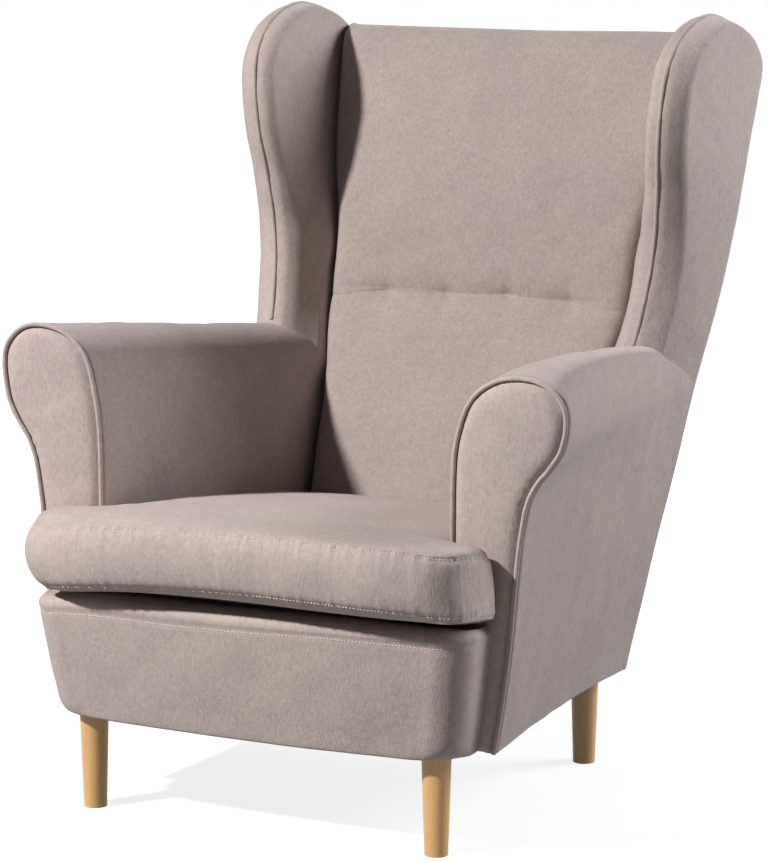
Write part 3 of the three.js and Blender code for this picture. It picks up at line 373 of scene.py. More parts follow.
def tube(line, radius, seed):
    """Points and faces of a round cord along a line of three numbers a point."""
    line, along = evenly(line, radius * RING_PITCH_SHARE)
    ahead = unit(np.vstack([line[1:], line[-1:]]) - np.vstack([line[:1], line[:-1]]))
    over = unit(np.cross(ahead, CORD_OVER))
    side = np.cross(ahead, over)
    turn = np.linspace(0, 2 * math.pi, CORD_SIDES, endpoint=False)
    size = radius * (1 + ripples(along, ((CORD_RIPPLE_SHARE, CORD_RIPPLE_PITCH, seed),)))
    rings = line[:, None] + size[:, None, None] * (
        np.cos(turn)[None, :, None] * over[:, None] + np.sin(turn)[None, :, None] * side[:, None]
    )
    faces = grid_faces(len(line), CORD_SIDES, True)
    faces.append(list(range(CORD_SIDES))[::-1])
    faces.append(list(range((len(line) - 1) * CORD_SIDES, len(line) * CORD_SIDES)))
    return rings.reshape(-1, 3), faces


def weld(piece):
    """Joins the vertices that lie on each other, and turns all faces out."""
    made = bmesh.new()
    made.from_mesh(piece.data)
    bmesh.ops.remove_doubles(made, verts=made.verts, dist=WELD_WITHIN)
    bmesh.ops.recalc_face_normals(made, faces=made.faces)
    made.to_mesh(piece.data)
    made.free()
    piece.data.update()


# Materials

# the sockets of a mix node that take and give colours, as several of its sockets share a name
MIX_COLOUR_INPUTS = (6, 7)
MIX_COLOUR_OUTPUT = 2
EVEN = (1, 1, 1)
UPRIGHT_NAP = (1, 1, 0.35)
LEVEL_NAP = (1, 0.35, 1)
# each a scale per metre, a detail, a roughness and a spread
VELOUR_CLOUDS = {
    "patches": (7, 3, 0.6, 0.14),
    "clouds": (70, 3, 0.65, 0.18),
    "streaks": (340, 3, 0.65, 0.18),
    "mottle": (170, 2, 0.6, 0.18),
    "grain": (800, 2, 0.6, 0.2),
}
VELOUR_COLOUR_SHARES = (("patches", 0.7), ("clouds", 0.3))
VELOUR_SHADE_SHARES = (("streaks", 0.42), ("grain", 0.23), ("mottle", 0.25), ("clouds", 0.1))
VELOUR_BUMP_SHARES = (("grain", 0.5), ("streaks", 0.7))
VELOUR_COLOURS = ((0.452, 0.366, 0.358), (0.500, 0.419, 0.380))
VELOUR_DARK = (0.77, 0.76, 0.76)
VELOUR_LIGHT = (1.18, 1.18, 1.18)
THREAD_COLOURS = ((0.62, 0.53, 0.48), (0.8, 0.72, 0.66))
BEECH_COLOURS = ((0.68, 0.38, 0.135), (0.8, 0.495, 0.205))
BEECH_LINE_COLOUR = (0.5, 0.27, 0.1)
BEECH_LINE_SHARE = 0.35
BEECH_FLECK_COLOUR = (0.44, 0.24, 0.1)
BEECH_FLECK_SHARE = 0.35
RAW_COLOURS = ((0.42, 0.28, 0.15), (0.66, 0.5, 0.32))
STEEL_COLOURS = ((0.32, 0.33, 0.34), (0.5, 0.51, 0.53))
WEAVE_SCALE = 420.0
WEBBING_COLOURS = ((0.07, 0.06, 0.055), (0.14, 0.125, 0.11))
DIMPLE_SCALE = 380.0
SHEET_FIBRE_SHARE = 0.5
SHEET_DIMPLE_SHARE = 0.6
SHEET_COLOURS = ((0.018, 0.017, 0.016), (0.05, 0.048, 0.046))


class Nodes:
    """Builds a tree of nodes with few words."""

    def __init__(self, tree):
        self.tree = tree

    def add(self, kind, inputs=None, **settings):
        node = self.tree.nodes.new(kind)
        for key, value in settings.items():
            setattr(node, key, value)
        for key, value in (inputs or {}).items():
            self.give(node.inputs[key], value)
        return node

    def give(self, socket, value):
        if isinstance(value, bpy.types.NodeSocket):
            self.tree.links.new(value, socket)
        else:
            socket.default_value = value

    def math(self, operation, a, b):
        return self.add("ShaderNodeMath", {0: a, 1: b}, operation=operation).outputs[0]

    def seen_directly(self):
        """1 where the camera or a reflection sees the surface, and 0 for the light that it gives off."""
        path = self.add("ShaderNodeLightPath").outputs
        return self.math("MAXIMUM", path["Is Camera Ray"], path["Is Glossy Ray"])


class Finish(Nodes):
    """A material with one shader, whose patterns follow the object."""

    def __init__(self, name):
        self.material = bpy.data.materials.new(name)
        self.material.use_nodes = True
        super().__init__(self.material.node_tree)
        self.shader = self.tree.nodes["Principled BSDF"]
        self.space = self.add("ShaderNodeTexCoord").outputs["Object"]

    def noise(self, scale, detail, roughness=0.5, stretch=EVEN):
        place = self.space
        if stretch != EVEN:
            place = self.add("ShaderNodeMapping", {"Vector": place, "Scale": stretch}).outputs["Vector"]
        inputs = {"Vector": place, "Scale": scale, "Detail": detail, "Roughness": roughness}
        return self.add("ShaderNodeTexNoise", inputs).outputs["Fac"]

    def ramp(self, value, low, high):
        inputs = {"Value": value, "From Min": low, "From Max": high}
        return self.add("ShaderNodeMapRange", inputs, clamp=True).outputs["Result"]

    def cloud(self, scale, detail, roughness, spread, stretch):
        """Noise whose values near a half are spread out from 0 to 1."""
        return self.ramp(self.noise(scale, detail, roughness, stretch), 0.5 - spread, 0.5 + spread)

    def blend(self, share, a, b, kind="MIX"):
        made = self.add("ShaderNodeMix", {0: share}, data_type="RGBA", blend_type=kind)
        for place, value in zip(MIX_COLOUR_INPUTS, (a, b)):
            self.give(made.inputs[place], value if isinstance(value, bpy.types.NodeSocket) else (*value, 1))
        return made.outputs[MIX_COLOUR_OUTPUT]

    def sum(self, *terms):
        """The sum of values, each with its weight."""
        total = None
        for value, weight in terms:
            term = self.math("MULTIPLY", value, weight)
            total = term if total is None else self.math("ADD", total, term)
        return total

    def bump(self, height, strength, distance):
        made = self.add("ShaderNodeBump", {"Height": height, "Strength": strength, "Distance": distance})
        self.give(self.shader.inputs["Normal"], made.outputs["Normal"])

    def set(self, **values):
        for key, value in values.items():
            self.give(self.shader.inputs[key.replace("_", " ")], value)
        return self.material


def velour(name, nap, painted_light_level):
    """Brushed velour: two shades in soft patches, fine streaks along the nap and a close pile."""
    made = Finish(name)
    found = {
        key: made.cloud(*sizes, nap if key == "streaks" else EVEN) for key, sizes in VELOUR_CLOUDS.items()
    }
    colour_share, shade_share, height = (
        made.sum(*((found[key], weight) for key, weight in shares))
        for shares in (VELOUR_COLOUR_SHARES, VELOUR_SHADE_SHARES, VELOUR_BUMP_SHARES)
    )
    base = made.blend(colour_share, *VELOUR_COLOURS)
    # the painted light level scales the whole colour, painting a panel lighter or darker for how light falls
    # on it
    dark, light = ([painted_light_level * level for level in shade] for shade in (VELOUR_DARK, VELOUR_LIGHT))
    made.bump(height, strength=0.35, distance=0.0012)
    return made.set(
        Base_Color=made.blend(1.0, base, made.blend(shade_share, dark, light), "MULTIPLY"),
        Roughness=0.9,
        Sheen_Weight=0.18,
        Sheen_Roughness=0.45,
        Sheen_Tint=(0.95, 0.88, 0.88, 1),
        Specular_IOR_Level=0.2,
    )


def thread():
    made = Finish("thread")
    twist = made.noise(scale=2400, detail=1)
    made.bump(twist, strength=0.4, distance=0.0004)
    return made.set(Base_Color=made.blend(twist, *THREAD_COLOURS), Roughness=0.6)


def beech():
    """Clear lacquered wood with its grain along the leg."""
    made = Finish("beech")
    rings = made.noise(scale=26, detail=4, roughness=0.55, stretch=(1, 1, 0.07))
    lines = made.noise(scale=160, detail=3, roughness=0.6, stretch=(1, 1, 0.035))
    specks = made.noise(scale=420, detail=2, roughness=0.5, stretch=(1, 1, 0.12))
    base = made.blend(made.ramp(rings, low=0.35, high=0.68), *BEECH_COLOURS)
    lined = made.blend(BEECH_LINE_SHARE, base, BEECH_LINE_COLOUR)
    base = made.blend(made.ramp(lines, low=0.35, high=0.75), base, lined)
    flecks = made.ramp(specks, low=0.58, high=0.72)
    base = made.blend(made.sum((flecks, BEECH_FLECK_SHARE)), base, BEECH_FLECK_COLOUR)
    made.bump(lines, strength=0.12, distance=0.0006)
    gloss = made.ramp(lines, low=-2.2, high=3.4)
    return made.set(Base_Color=base, Roughness=gloss, Coat_Weight=0.25, Coat_Roughness=0.25)


def raw_wood():
    made = Finish("raw_wood")
    rings = made.noise(scale=18, detail=4, roughness=0.6, stretch=(0.15, 1, 0.4))
    saw = made.noise(scale=300, detail=2, roughness=0.5, stretch=(1, 0.2, 1))
    made.bump(saw, strength=0.4, distance=0.001)
    return made.set(Base_Color=made.blend(rings, *RAW_COLOURS), Roughness=0.8)


def steel():
    made = Finish("steel")
    marks = made.noise(scale=240, detail=3, roughness=0.6, stretch=(1, 1, 0.2))
    made.bump(marks, strength=0.15, distance=0.0004)
    gloss = made.ramp(marks, low=-1.2, high=2.2)
    return made.set(Base_Color=made.blend(marks, *STEEL_COLOURS), Metallic=1.0, Roughness=gloss)


def webbing():
    made = Finish("webbing")
    weave = made.add("ShaderNodeTexChecker", {"Vector": made.space, "Scale": WEAVE_SCALE}).outputs["Fac"]
    made.bump(weave, strength=0.5, distance=0.0008)
    return made.set(Base_Color=made.blend(weave, *WEBBING_COLOURS), Roughness=0.85)


def dust_sheet():
    made = Finish("dust_sheet")
    fibres = made.noise(scale=700, detail=3, roughness=0.7)
    cells = made.add("ShaderNodeTexVoronoi", {"Vector": made.space, "Scale": DIMPLE_SCALE})
    height = made.sum((fibres, SHEET_FIBRE_SHARE), (cells.outputs["Distance"], SHEET_DIMPLE_SHARE))
    made.bump(height, strength=0.4, distance=0.0006)
    return made.set(Base_Color=made.blend(fibres, *SHEET_COLOURS), Roughness=0.95)


# Each panel gets the same velour with a painted light level: the front panels are painted lighter, and the
# sides, wings and back carry painted shade, for how light falls on each.
front_velour_painted_lighter = velour("velour_front_painted_lighter", UPRIGHT_NAP, painted_light_level=1.05)
side_velour_painted_shade = velour("velour_side_painted_shade", UPRIGHT_NAP, painted_light_level=0.9)
wing_velour_painted_shade = velour("velour_wing_painted_shade", UPRIGHT_NAP, painted_light_level=0.97)
back_velour_painted_shade = velour("velour_back_painted_shade", UPRIGHT_NAP, painted_light_level=0.82)
level_cover = velour("velour_level", LEVEL_NAP, painted_light_level=1.0)
thread_finish = thread()
leg_finish = beech()
frame_finish = raw_wood()
steel_finish = steel()
webbing_finish = webbing()
sheet_finish = dust_sheet()


# Arms

ARM_FRONT = -262
FACING_FRONT = -270
ARM_EDGE = 6
ARM_POINTS = 190
ARM_TOP_SHARE = 0.35
ARM_FADE_SHARE = 0.14
ARM_FADE_POWER = 2.0
ARM_DROP_POWER = 1.35
ARM_SIDE_DROP_POWER = 0.95
# x and z of the scroll's seam at the front, and of the line that it has become at the rear
ARM_SEAM = (
    (258, 131), (258, 260), (258, 380), (259, 486), (265, 538), (281, 584), (310, 609), (345, 617),
    (378, 611), (399, 592), (405, 567), (399, 531), (384, 505), (367, 484), (354, 458), (347, 425),
    (341, 380), (330, 261), (318, 175), (310, 131),
)
ARM_REAR = (
    (192, 131), (192, 250), (194, 350), (204, 450), (215, 505), (230, 540), (252, 555), (282, 558),
    (306, 553), (322, 542), (332, 526), (337, 508), (337, 499), (336, 486), (334, 463), (331, 430),
    (326, 380), (314, 265), (304, 170), (300, 131),
)
ARM_RIPPLES = ((0.6, 95, 3),)
ARM_FINE_RIPPLES = ((0.2, 38, 4),)
ARM_FINE_STRETCH = (1, 1, 0.5)
ARM_HEM_RISE = 5.5
ARM_HEM_LENGTH = 480
ARM_HEM_POWER = 0.8
ARM_HEM_STEPS = ((-2.5, 0, -1.5), (-9, 0, 0.5), (0, 0, 6))
LEFT_SINK = 7
FACING_STEP_X = 283
FACING_STEP_Z = 245
FACING_SIDE_X = 290
FACING_BEFORE_ARM = 1
FACING_PLUMP = 7.5
FACING_RIPPLES = ((0.5, 60, 8),)
GATHER_X_BUMP = (1.3, 362, 16)
GATHER_Z_BUMP = (1, 478, 26)
GATHER_LENGTH = 2.6
PIPING_RADIUS = 3
PIPING_Y = -265.8
PIPING_CLEAR = 0.2
PIPING_START_X = 262
PIPING_START_Z = 290


def arm_point_rows():
    """Rings of the arm: its scroll at the front fades into a flat side at the rear."""
    seam = spline(ARM_SEAM, ARM_POINTS)
    rear = spline(ARM_REAR, ARM_POINTS)
    front = beside(seam, ARM_EDGE)
    outer = rising(np.arange(ARM_POINTS) / ARM_POINTS, ARM_TOP_SHARE, ARM_FADE_SHARE)
    rows = []
    for angle in np.linspace(0, QUARTER_TURN, num=6)[:-1]:
        ring = beside(seam, ARM_EDGE * math.sin(angle))
        y = ARM_FRONT + ARM_EDGE * (1 - math.cos(angle))
        rows.append(np.column_stack([ring[:, 0], np.full(ARM_POINTS, y), ring[:, 1]]))
    for share in np.linspace(0, 1, num=110):
        fade = mix(share, 1 - (1 - share) ** ARM_FADE_POWER, outer)
        drop = mix(share ** ARM_DROP_POWER, share ** ARM_SIDE_DROP_POWER, outer)
        z = mix(front[:, 1], rear[:, 1], drop)
        y = mix(ARM_FRONT + ARM_EDGE, rear_y(z) - COVER, share)
        rows.append(np.column_stack([mix(front[:, 0], rear[:, 0], fade), y, z]))
    return np.array(rows)


def settled_arm(points, side):
    """The right arm's top sinks a little at its front; the left one stands up there and sinks behind it."""
    points = np.array(points, float).reshape(-1, 3)
    x, y, z = points.T
    behind = np.maximum(y - FACING_FRONT, 0)
    if side > 0:
        height, reach = 7, 60
        lift = -height * fading(behind, reach)
    else:
        height, reach = 15, 100
        lift = height * fading(behind, reach) - LEFT_SINK * rising(behind, start=120, width=300)
        pull, reach = 8, 250
        points[:, 0] -= pull * rising(x, start=340, width=55) * fading(behind, reach)
    points[:, 2] += lift * rising(z, start=500, width=90)
    return points


def normals_of(rows, flip=1):
    down = np.gradient(rows, axis=0)
    along = np.gradient(rows, axis=1)
    made = np.cross(along, down) * flip
    length = np.linalg.norm(made, axis=2)
    return made / np.maximum(length, TINY)[..., None]


def make_arm():
    rows = arm_point_rows()
    flat = rows.reshape(-1, 3)
    # the cloth is drawn softly over the padding
    lift = ripples(flat, ARM_RIPPLES) + ripples(flat * ARM_FINE_STRETCH, ARM_FINE_RIPPLES)
    # the lower edge of the side is drawn up a little between the legs
    bottom = bell(rows[..., 2] - BASE_BOTTOM, half_width=60)
    rows = raised(rows, normals_of(rows), lift)
    along = np.clip((rows[..., 1] - ARM_FRONT) / ARM_HEM_LENGTH, 0, 1)
    rows[..., 2] += ARM_HEM_RISE * bottom * np.sin(np.pi * along) ** ARM_HEM_POWER
    for step in ARM_HEM_STEPS:
        rows = np.concatenate([rows, rows[:, -1:] + step], axis=1)
    pair("arm_cover", rows, sheet_faces(rows), side_velour_painted_shade, "arm_pad", moved=settled_arm)


def facing_outline():
    seam = spline(ARM_SEAM, ARM_POINTS)
    step = [(FACING_STEP_X, BASE_BOTTOM), (FACING_STEP_X, FACING_STEP_Z), (ARM_SEAM[0][0], FACING_STEP_Z)]
    shown = [p for p in seam.tolist() if p[0] > FACING_SIDE_X or p[1] > FACING_STEP_Z + 1]
    return np.array(step + shown)


def make_facing():
    outline, _ = evenly_round(facing_outline(), pitch=3)
    flat, faces = sheet_over(outline, pitch=5)
    far, place = to_outline(outline, flat)
    plump = swelling(far, 1, reach=5)
    y = ARM_FRONT - FACING_BEFORE_ARM - FACING_PLUMP * plump - swelling(far, height=4, reach=26)
    y += ripples(np.column_stack([flat, place * 0]), FACING_RIPPLES) * plump
    # small gathers run in from the seam where it turns in under the scroll
    turn = bumps(flat[:, 0], (GATHER_X_BUMP,)) * bumps(flat[:, 1], (GATHER_Z_BUMP,))
    y += np.sin(place / GATHER_LENGTH) * turn * fading(far, reach=14)
    points = np.column_stack([flat[:, 0], y, flat[:, 1]])
    if normal_of(points, faces[0])[1] > 0:
        faces = turned(faces)
    pair("arm_front", points, faces, front_velour_painted_lighter, "arm_facing", moved=settled_arm)


def make_arm_piping():
    seam = spline(ARM_SEAM, ARM_POINTS)
    cord = beside(seam, PIPING_RADIUS + PIPING_CLEAR)
    cord = np.array([p for p in cord.tolist() if p[0] > PIPING_START_X or p[1] > PIPING_START_Z])
    line = np.column_stack([cord[:, 0], np.full(len(cord), PIPING_Y), cord[:, 1]])
    points, faces = tube(line, PIPING_RADIUS, seed=11)
    pair("arm_cord", points, faces, front_velour_painted_lighter, "arm_piping", moved=settled_arm)


# Wings

# y and z of the wing's edge, from its foot up the front and over the top
WING_EDGE = (
    (250, 492), (256, 540), (282, 605), (301, 665), (305, 720), (297, 785), (284, 840), (281, 895),
    (290, 945), (319, 981), (366, 1005), (428, 1015), (490, 1007), (543, 989), (570, 962), (563, 928),
)
WING_FRONT_POINTS = 10
WING_NEAR_SHARE = 0.3
WING_REAR_TURN = 868
WING_ROUND = 26
WING_CRISP_POWER = 3.2
WING_SHOULDER_OUT = 23
EAR_SHOULDER_OUT = 31
EAR_START = 600
EAR_HEIGHT = 300
WING_SHOULDER_IN = 24
WING_LEAST_DEPTH = 30
WING_FADE_POWER = 0.6
WING_FOOT_IN = 6
WING_TURNED_IN = (-28, 0.6, -6)
WING_RIPPLES = ((0.6, 80, 21), (0.3, 30, 22))
WING_GROOVE = 1.8
WING_CORD_SUNK = 0.9
WING_CORD_SPLIT_Y = 500
WING_CORD_START = 572
WING_CORD_END = 946

wing_front_line = np.array(WING_EDGE[:WING_FRONT_POINTS])


def wing_front_y(z):
    return np.interp(z, wing_front_line[:, 1], wing_front_line[:, 0])


def wing_inner_x(y, z):
    front = wing_front_y(z)
    share = np.clip((y - front) / np.maximum(back_face_y(z) - front, WING_LEAST_DEPTH), 0, 1)
    return mix(rim_x(z) - WING_SHOULDER_IN, junction_x(z), share)


def wing_outer_x(y, z):
    front = wing_front_y(z)
    share = np.clip((y - front) / (rear_y(z) - front), 0, 1)
    out = mix(WING_SHOULDER_OUT, EAR_SHOULDER_OUT, np.clip((z - EAR_START) / EAR_HEIGHT, 0, 1))
    return mix(rim_x(z) + out, side_x(z), share ** WING_FADE_POWER)


def make_wing():
    edge = spline(WING_EDGE, count=150)
    edge[-1, 0] = rear_y(edge[-1, 1]) - COVER
    near = np.linspace(0, 1, num=46) ** 2 * WING_NEAR_SHARE
    shares = np.concatenate([near, np.linspace(WING_NEAR_SHARE, 1, num=22)[1:]])
    to_turn = int(np.argmax(edge[:, 1] > WING_REAR_TURN)) - 1
    rows = []
    for row, (edge_y, edge_z) in enumerate(edge):
        left = min(max((row - to_turn) / (len(edge) - 1 - to_turn), 0), 1)
        rear_z = mix(WING_REAR_TURN, edge[-1, 1], left) if left > 0 else edge_z
        y = mix(edge_y, rear_y(rear_z) - COVER, shares)
        z = mix(edge_z, rear_z, shares)
        depth = np.clip(np.hypot(y - edge_y, z - edge_z) / WING_ROUND, 0, 1)
        full = np.sqrt(1 - (1 - depth) ** 2)
        crisp = (1 - (1 - depth) ** WING_CRISP_POWER) ** (1 / WING_CRISP_POWER)
        rim = rim_x(edge_z)
        inner = np.column_stack([mix(rim, wing_inner_x(y, z), crisp), y, z])
        outer = np.column_stack([mix(rim, wing_outer_x(y, z), full), y, z])
        outer[:, 0] -= WING_FOOT_IN * rising(z, start=510, width=-18)
        rows.append(np.vstack([inner[::-1], outer[1:], outer[-1:] + WING_TURNED_IN]))
    rows = np.array(rows)
    lift = ripples(rows.reshape(-1, 3), WING_RIPPLES)
    # the outer cloth is drawn in beside the cord and stands up again behind it
    from_edge = np.hypot(rows[..., 1] - edge[:, :1], rows[..., 2] - edge[:, 1:]).reshape(-1)
    lift -= WING_GROOVE * bell(from_edge, half_width=4)
    rows = raised(rows, normals_of(rows, -1), lift)
    pair("wing_cover", rows, sheet_faces(rows), wing_velour_painted_shade, "wing_pad")
    line = beside(edge, PIPING_RADIUS - WING_CORD_SUNK)
    kept = [(y, z) for y, z in line if z > (WING_CORD_START if y < WING_CORD_SPLIT_Y else WING_CORD_END)]
    cord = np.array([(rim_x(z), y, z) for y, z in kept])
    points, faces = tube(cord, PIPING_RADIUS, seed=23)
    pair("wing_cord", points, faces, wing_velour_painted_shade, "wing_piping")


# Back

BACK_BOTTOM = 255
BACK_SUMMIT = 982
BACK_MIDDLE = 565
BACK_LOWER_HALVES = ((255, 193), (350, 195), (450, 204), (508, 216), (545, 227), (565, 231.5))
BACK_SIDE_GAP = 0.6
BACK_LEVELS = ((BACK_BOTTOM, 580, 60), (580, 655, 60), (655, 952, 70))
BACK_ROUND_START = 952
BACK_ROUND_DEPTH = 26
BACK_COLUMN_POWER = 1.25
BACK_BULGE_FOOT = 300
BACK_LOWER_BULGE = 16
BACK_UPPER_BULGE = 9
BACK_UPPER_POWER = 0.7
BACK_BULGE_POWER = 4
TUFTS = (-142, -48, 48, 142)
BACK_SEAM_X = (-232, -205, -175, -142, -48, 48, 142, 190, 232)
BACK_SEAM_LIFT = (-16, -15, -8, -6, -4, 1, -4, -9, -12)
SEAM_END_LOSS = 0.35
SEAM_BUMPS = ((3.2, 0, 12), (2.5, 0, 34))
SWELL_BUMPS = ((1.6, 34, 20), (1.4, -36, 22))
TUFT_BUMPS = ((2.4, 0, 7), (3.0, 0, 28))
PUCKER_DEPTH = 0.9
PUCKER_LENGTH = 4.6
PUCKER_RIPPLES = ((0.8, 40, 32),)
BACK_RIPPLES = ((0.8, 120, 33), (0.35, 46, 34))
BACK_RIGHT_LIFT = 4
BACK_RIGHT_WIDTH = 230
FLANGE_OUT = 0.5
FLANGE_DEPTH = 14
FLANGE_CLEAR = 8
ROLL_START = 0.04
ROLL_CLEAR = 2
ROLL_DROP = 40
ROLL_REACH = 44
BEHIND_BACK = (0, 700, 700)


def back_half(z):
    lower = np.interp(z, *zip(*BACK_LOWER_HALVES))
    return np.where(z > BACK_MIDDLE, junction_x(z) - BACK_SIDE_GAP, lower)


def back_bulge(z):
    low = np.clip((z - BACK_BULGE_FOOT) / (BACK_SEAM_Z - BACK_BULGE_FOOT), 0, 1)
    high = np.clip((z - BACK_SEAM_Z) / (BACK_TOP_Z - BACK_SEAM_Z), 0, 1)
    below = BACK_LOWER_BULGE * np.sin(np.pi * low)
    above = BACK_UPPER_BULGE * np.sin(np.pi * high) ** BACK_UPPER_POWER
    return np.where(z < BACK_SEAM_Z, below, above)


def back_rows():
    """Level rows of the back's face, which rolls in at its sides and its top."""
    top = BACK_SUMMIT - BACK_ROUND_START
    round_levels = BACK_SUMMIT - top * (1 - np.sin(np.linspace(0, QUARTER_TURN, num=26)))
    levels = np.unique(np.concatenate([*(np.linspace(*stretch) for stretch in BACK_LEVELS), round_levels]))
    across = np.linspace(-1, 1, num=181)
    across = np.sign(across) * (1 - (1 - np.abs(across)) ** BACK_COLUMN_POWER)
    roll, reach = 32, 8
    rows = []
    for z in levels:
        half = back_half(z)
        lift = np.clip((z - BACK_ROUND_START) / top, 0, 1)
        rounded = BACK_ROUND_DEPTH * (1 - np.sqrt(1 - lift ** 2))
        x = across * half
        y = back_face_y(z) + rounded - back_bulge(z) * (1 - np.abs(across) ** BACK_BULGE_POWER)
        y = y + roll * fading(half - np.abs(x), reach)
        rows.append(np.column_stack([x, y, np.full(len(x), z)]))
    return np.array(rows)


def sewn_back(rows):
    """The face is sewn down along a seam, and gathered at four places on it."""
    x, y, z = rows.reshape(-1, 3).T
    above_seam = z - (BACK_SEAM_Z + np.interp(x, BACK_SEAM_X, BACK_SEAM_LIFT))
    ends = rising(np.abs(x), start=150, width=60)
    depth, more_on_left, half_width = 1.1, 0.9, 2.4
    seam = (depth + more_on_left * (x < TUFTS[0])) * bell(above_seam, half_width)
    seam = seam + bumps(above_seam, SEAM_BUMPS)
    for place in TUFTS:
        seam = seam + bell(x - place, half_width=17) * bumps(above_seam, TUFT_BUMPS)
        pull = np.sin((x - place) / PUCKER_LENGTH + ripples(z, PUCKER_RIPPLES))
        reach = bell(x - place, half_width=26) * fading(np.abs(above_seam), reach=20)
        seam = seam + PUCKER_DEPTH * reach * pull
    y = y + seam * (1 - SEAM_END_LOSS * ends) - bumps(above_seam, SWELL_BUMPS) * (1 - ends)
    y = y + ripples(np.column_stack([x, z]), BACK_RIPPLES)
    z = z + BACK_RIGHT_LIFT * rising(x, 0, BACK_RIGHT_WIDTH) * rising(z, start=850, width=130)
    return np.stack([x, y, z], axis=-1).reshape(rows.shape)


def make_back():
    rows = sewn_back(back_rows())
    flange = np.array([FLANGE_OUT, FLANGE_DEPTH, 0])
    rows = np.concatenate([rows[:, :1] + flange * (-1, 1, 1), rows, rows[:, -1:] + flange], axis=1)
    rows[..., 1] = np.minimum(rows[..., 1], rear_y(rows[..., 2]) - COVER - FLANGE_CLEAR)
    roll_foot = BACK_SUMMIT - ROLL_REACH
    rows[:, [0, -1], 2] = np.minimum(rows[:, [0, -1], 2], roll_foot)
    # the top rolls over to the rear and runs down behind the top rail
    crest = rows[-1]
    over = []
    for angle in np.linspace(ROLL_START, 1, num=26) * QUARTER_TURN:
        down = 1 - math.cos(angle)
        rear = rear_y(BACK_SUMMIT - ROLL_REACH * down) - COVER - ROLL_CLEAR
        y = mix(crest[:, 1], rear, math.sin(angle))
        row = np.column_stack([crest[:, 0], y, crest[:, 2] - ROLL_DROP * down])
        row[[0, -1], 1:] = (BACK_TOP_Y + ROLL_DROP, roll_foot)
        over.append(row)
    rows = np.concatenate([rows, np.array(over)])
    cover("back_cover", rows, BEHIND_BACK, back_velour_painted_shade, "back_pad")


OUTSIDE_TOP = 948
OUTSIDE_TUCK = 880
OUTSIDE_COLUMNS = 121
OUTSIDE_SIDE_GAP = 1.5
OUTSIDE_TOP_GAP = 1
OUTSIDE_EDGE = (3, 4)
OUTSIDE_RIPPLES = ((0.9, 150, 41),)
BEFORE_OUTSIDE = (0, -500, 600)


def make_outside_back():
    low = np.linspace(BASE_BOTTOM - 1, OUTSIDE_TUCK, num=120)
    levels = np.concatenate([low, np.linspace(OUTSIDE_TUCK, OUTSIDE_TOP, num=40)[1:]])
    across = np.linspace(-1, 1, OUTSIDE_COLUMNS)
    depth = OUTSIDE_EDGE[0]
    rows = []
    for z in levels:
        tuck = np.clip((z - OUTSIDE_TUCK) / (OUTSIDE_TOP - OUTSIDE_TUCK), 0, 1)
        drawn_in = 1 - np.sqrt(max(1 - tuck ** 2, 0))
        half = mix(side_x(z) - OUTSIDE_SIDE_GAP, junction_x(z) - OUTSIDE_TOP_GAP, drawn_in)
        x = across * half
        edge = np.maximum(np.minimum(half - np.abs(x), OUTSIDE_TOP - z), 0)
        y = rear_y(z) - depth + swelling(edge, *OUTSIDE_EDGE)
        rows.append(np.column_stack([x, y, np.full(len(x), z)]))
    rows = np.array(rows)
    x, y, z = rows.reshape(-1, 3).T
    y = y - np.abs(ripples(np.column_stack([x, z]), OUTSIDE_RIPPLES))
    rows = np.stack([x, y, z], axis=-1).reshape(rows.shape)
    rows = hemmed(rows, (0, -depth, 0))
    piece = cover("rear_cover", rows, BEFORE_OUTSIDE, side_velour_painted_shade, "outside_back")
    rise = np.linalg.norm(np.diff(rows[:, OUTSIDE_COLUMNS // 2], axis=0), axis=1).sum()


# Base

BASE_HALVES = (295, 316)
BASE_FRONTS = (-340, -363)
BASE_BOWS = (12, 18)
BASE_CORNER = 48
BASE_CORNER_LOSS = 0.3
BASE_LEAST_CORNER = 12
BASE_REAR = -271.5
BASE_TOP_Y = -356
BASE_TOP_BELOW_DECK = 1
BASE_HEM = ((7, 7), (1, 7), (0, 4))
BASE_HEM_ROUND = 4
BASE_HEM_START = 0.2
BASE_SWELL = 1.5
BASE_SWELL_MARGIN = 5
BASE_ROUND = 13
BASE_ROUND_GAP = 2
BASE_ROUND_END = 1.35
BASE_TOP_ROWS = 11
BASE_TOP_RISE = 3
BASE_TOP_X = (-300, -245, -200, 0, 150, 300)
BASE_TOP_LIFT = (-8, -2, 1, 3, 5, 4)
BASE_LEAN = 1.5
BASE_LEAN_WIDTH = 200
BASE_CORNER_HEIGHT = 22
BASE_CORNER_IN = (8, 5.5)
BASE_SEAM_CENTRE = -230
BASE_SEAM_SQUASH = 0.4
BASE_SEAM_BUMPS = ((-1.3, 0, 2.6),)
BASE_GATHERS = ((0.5, 15, 52),)
BASE_GATHER_LEAST = 0.5
BASE_GATHER_CHANGES = ((0.5, 130, 53),)
BASE_RIPPLES = ((0.8, 110, 51), (0.3, 42, 54))
BASE_STITCH_X = (-290, -261, -211, -173, -112, -15, 40, 127, 223, 299)
BASE_STITCH_Z = (272, 275.7, 279.3, 280.3, 280.1, 282.1, 284, 286.6, 286.2, 284.5)
INSIDE_BASE = (0, -200, 220)


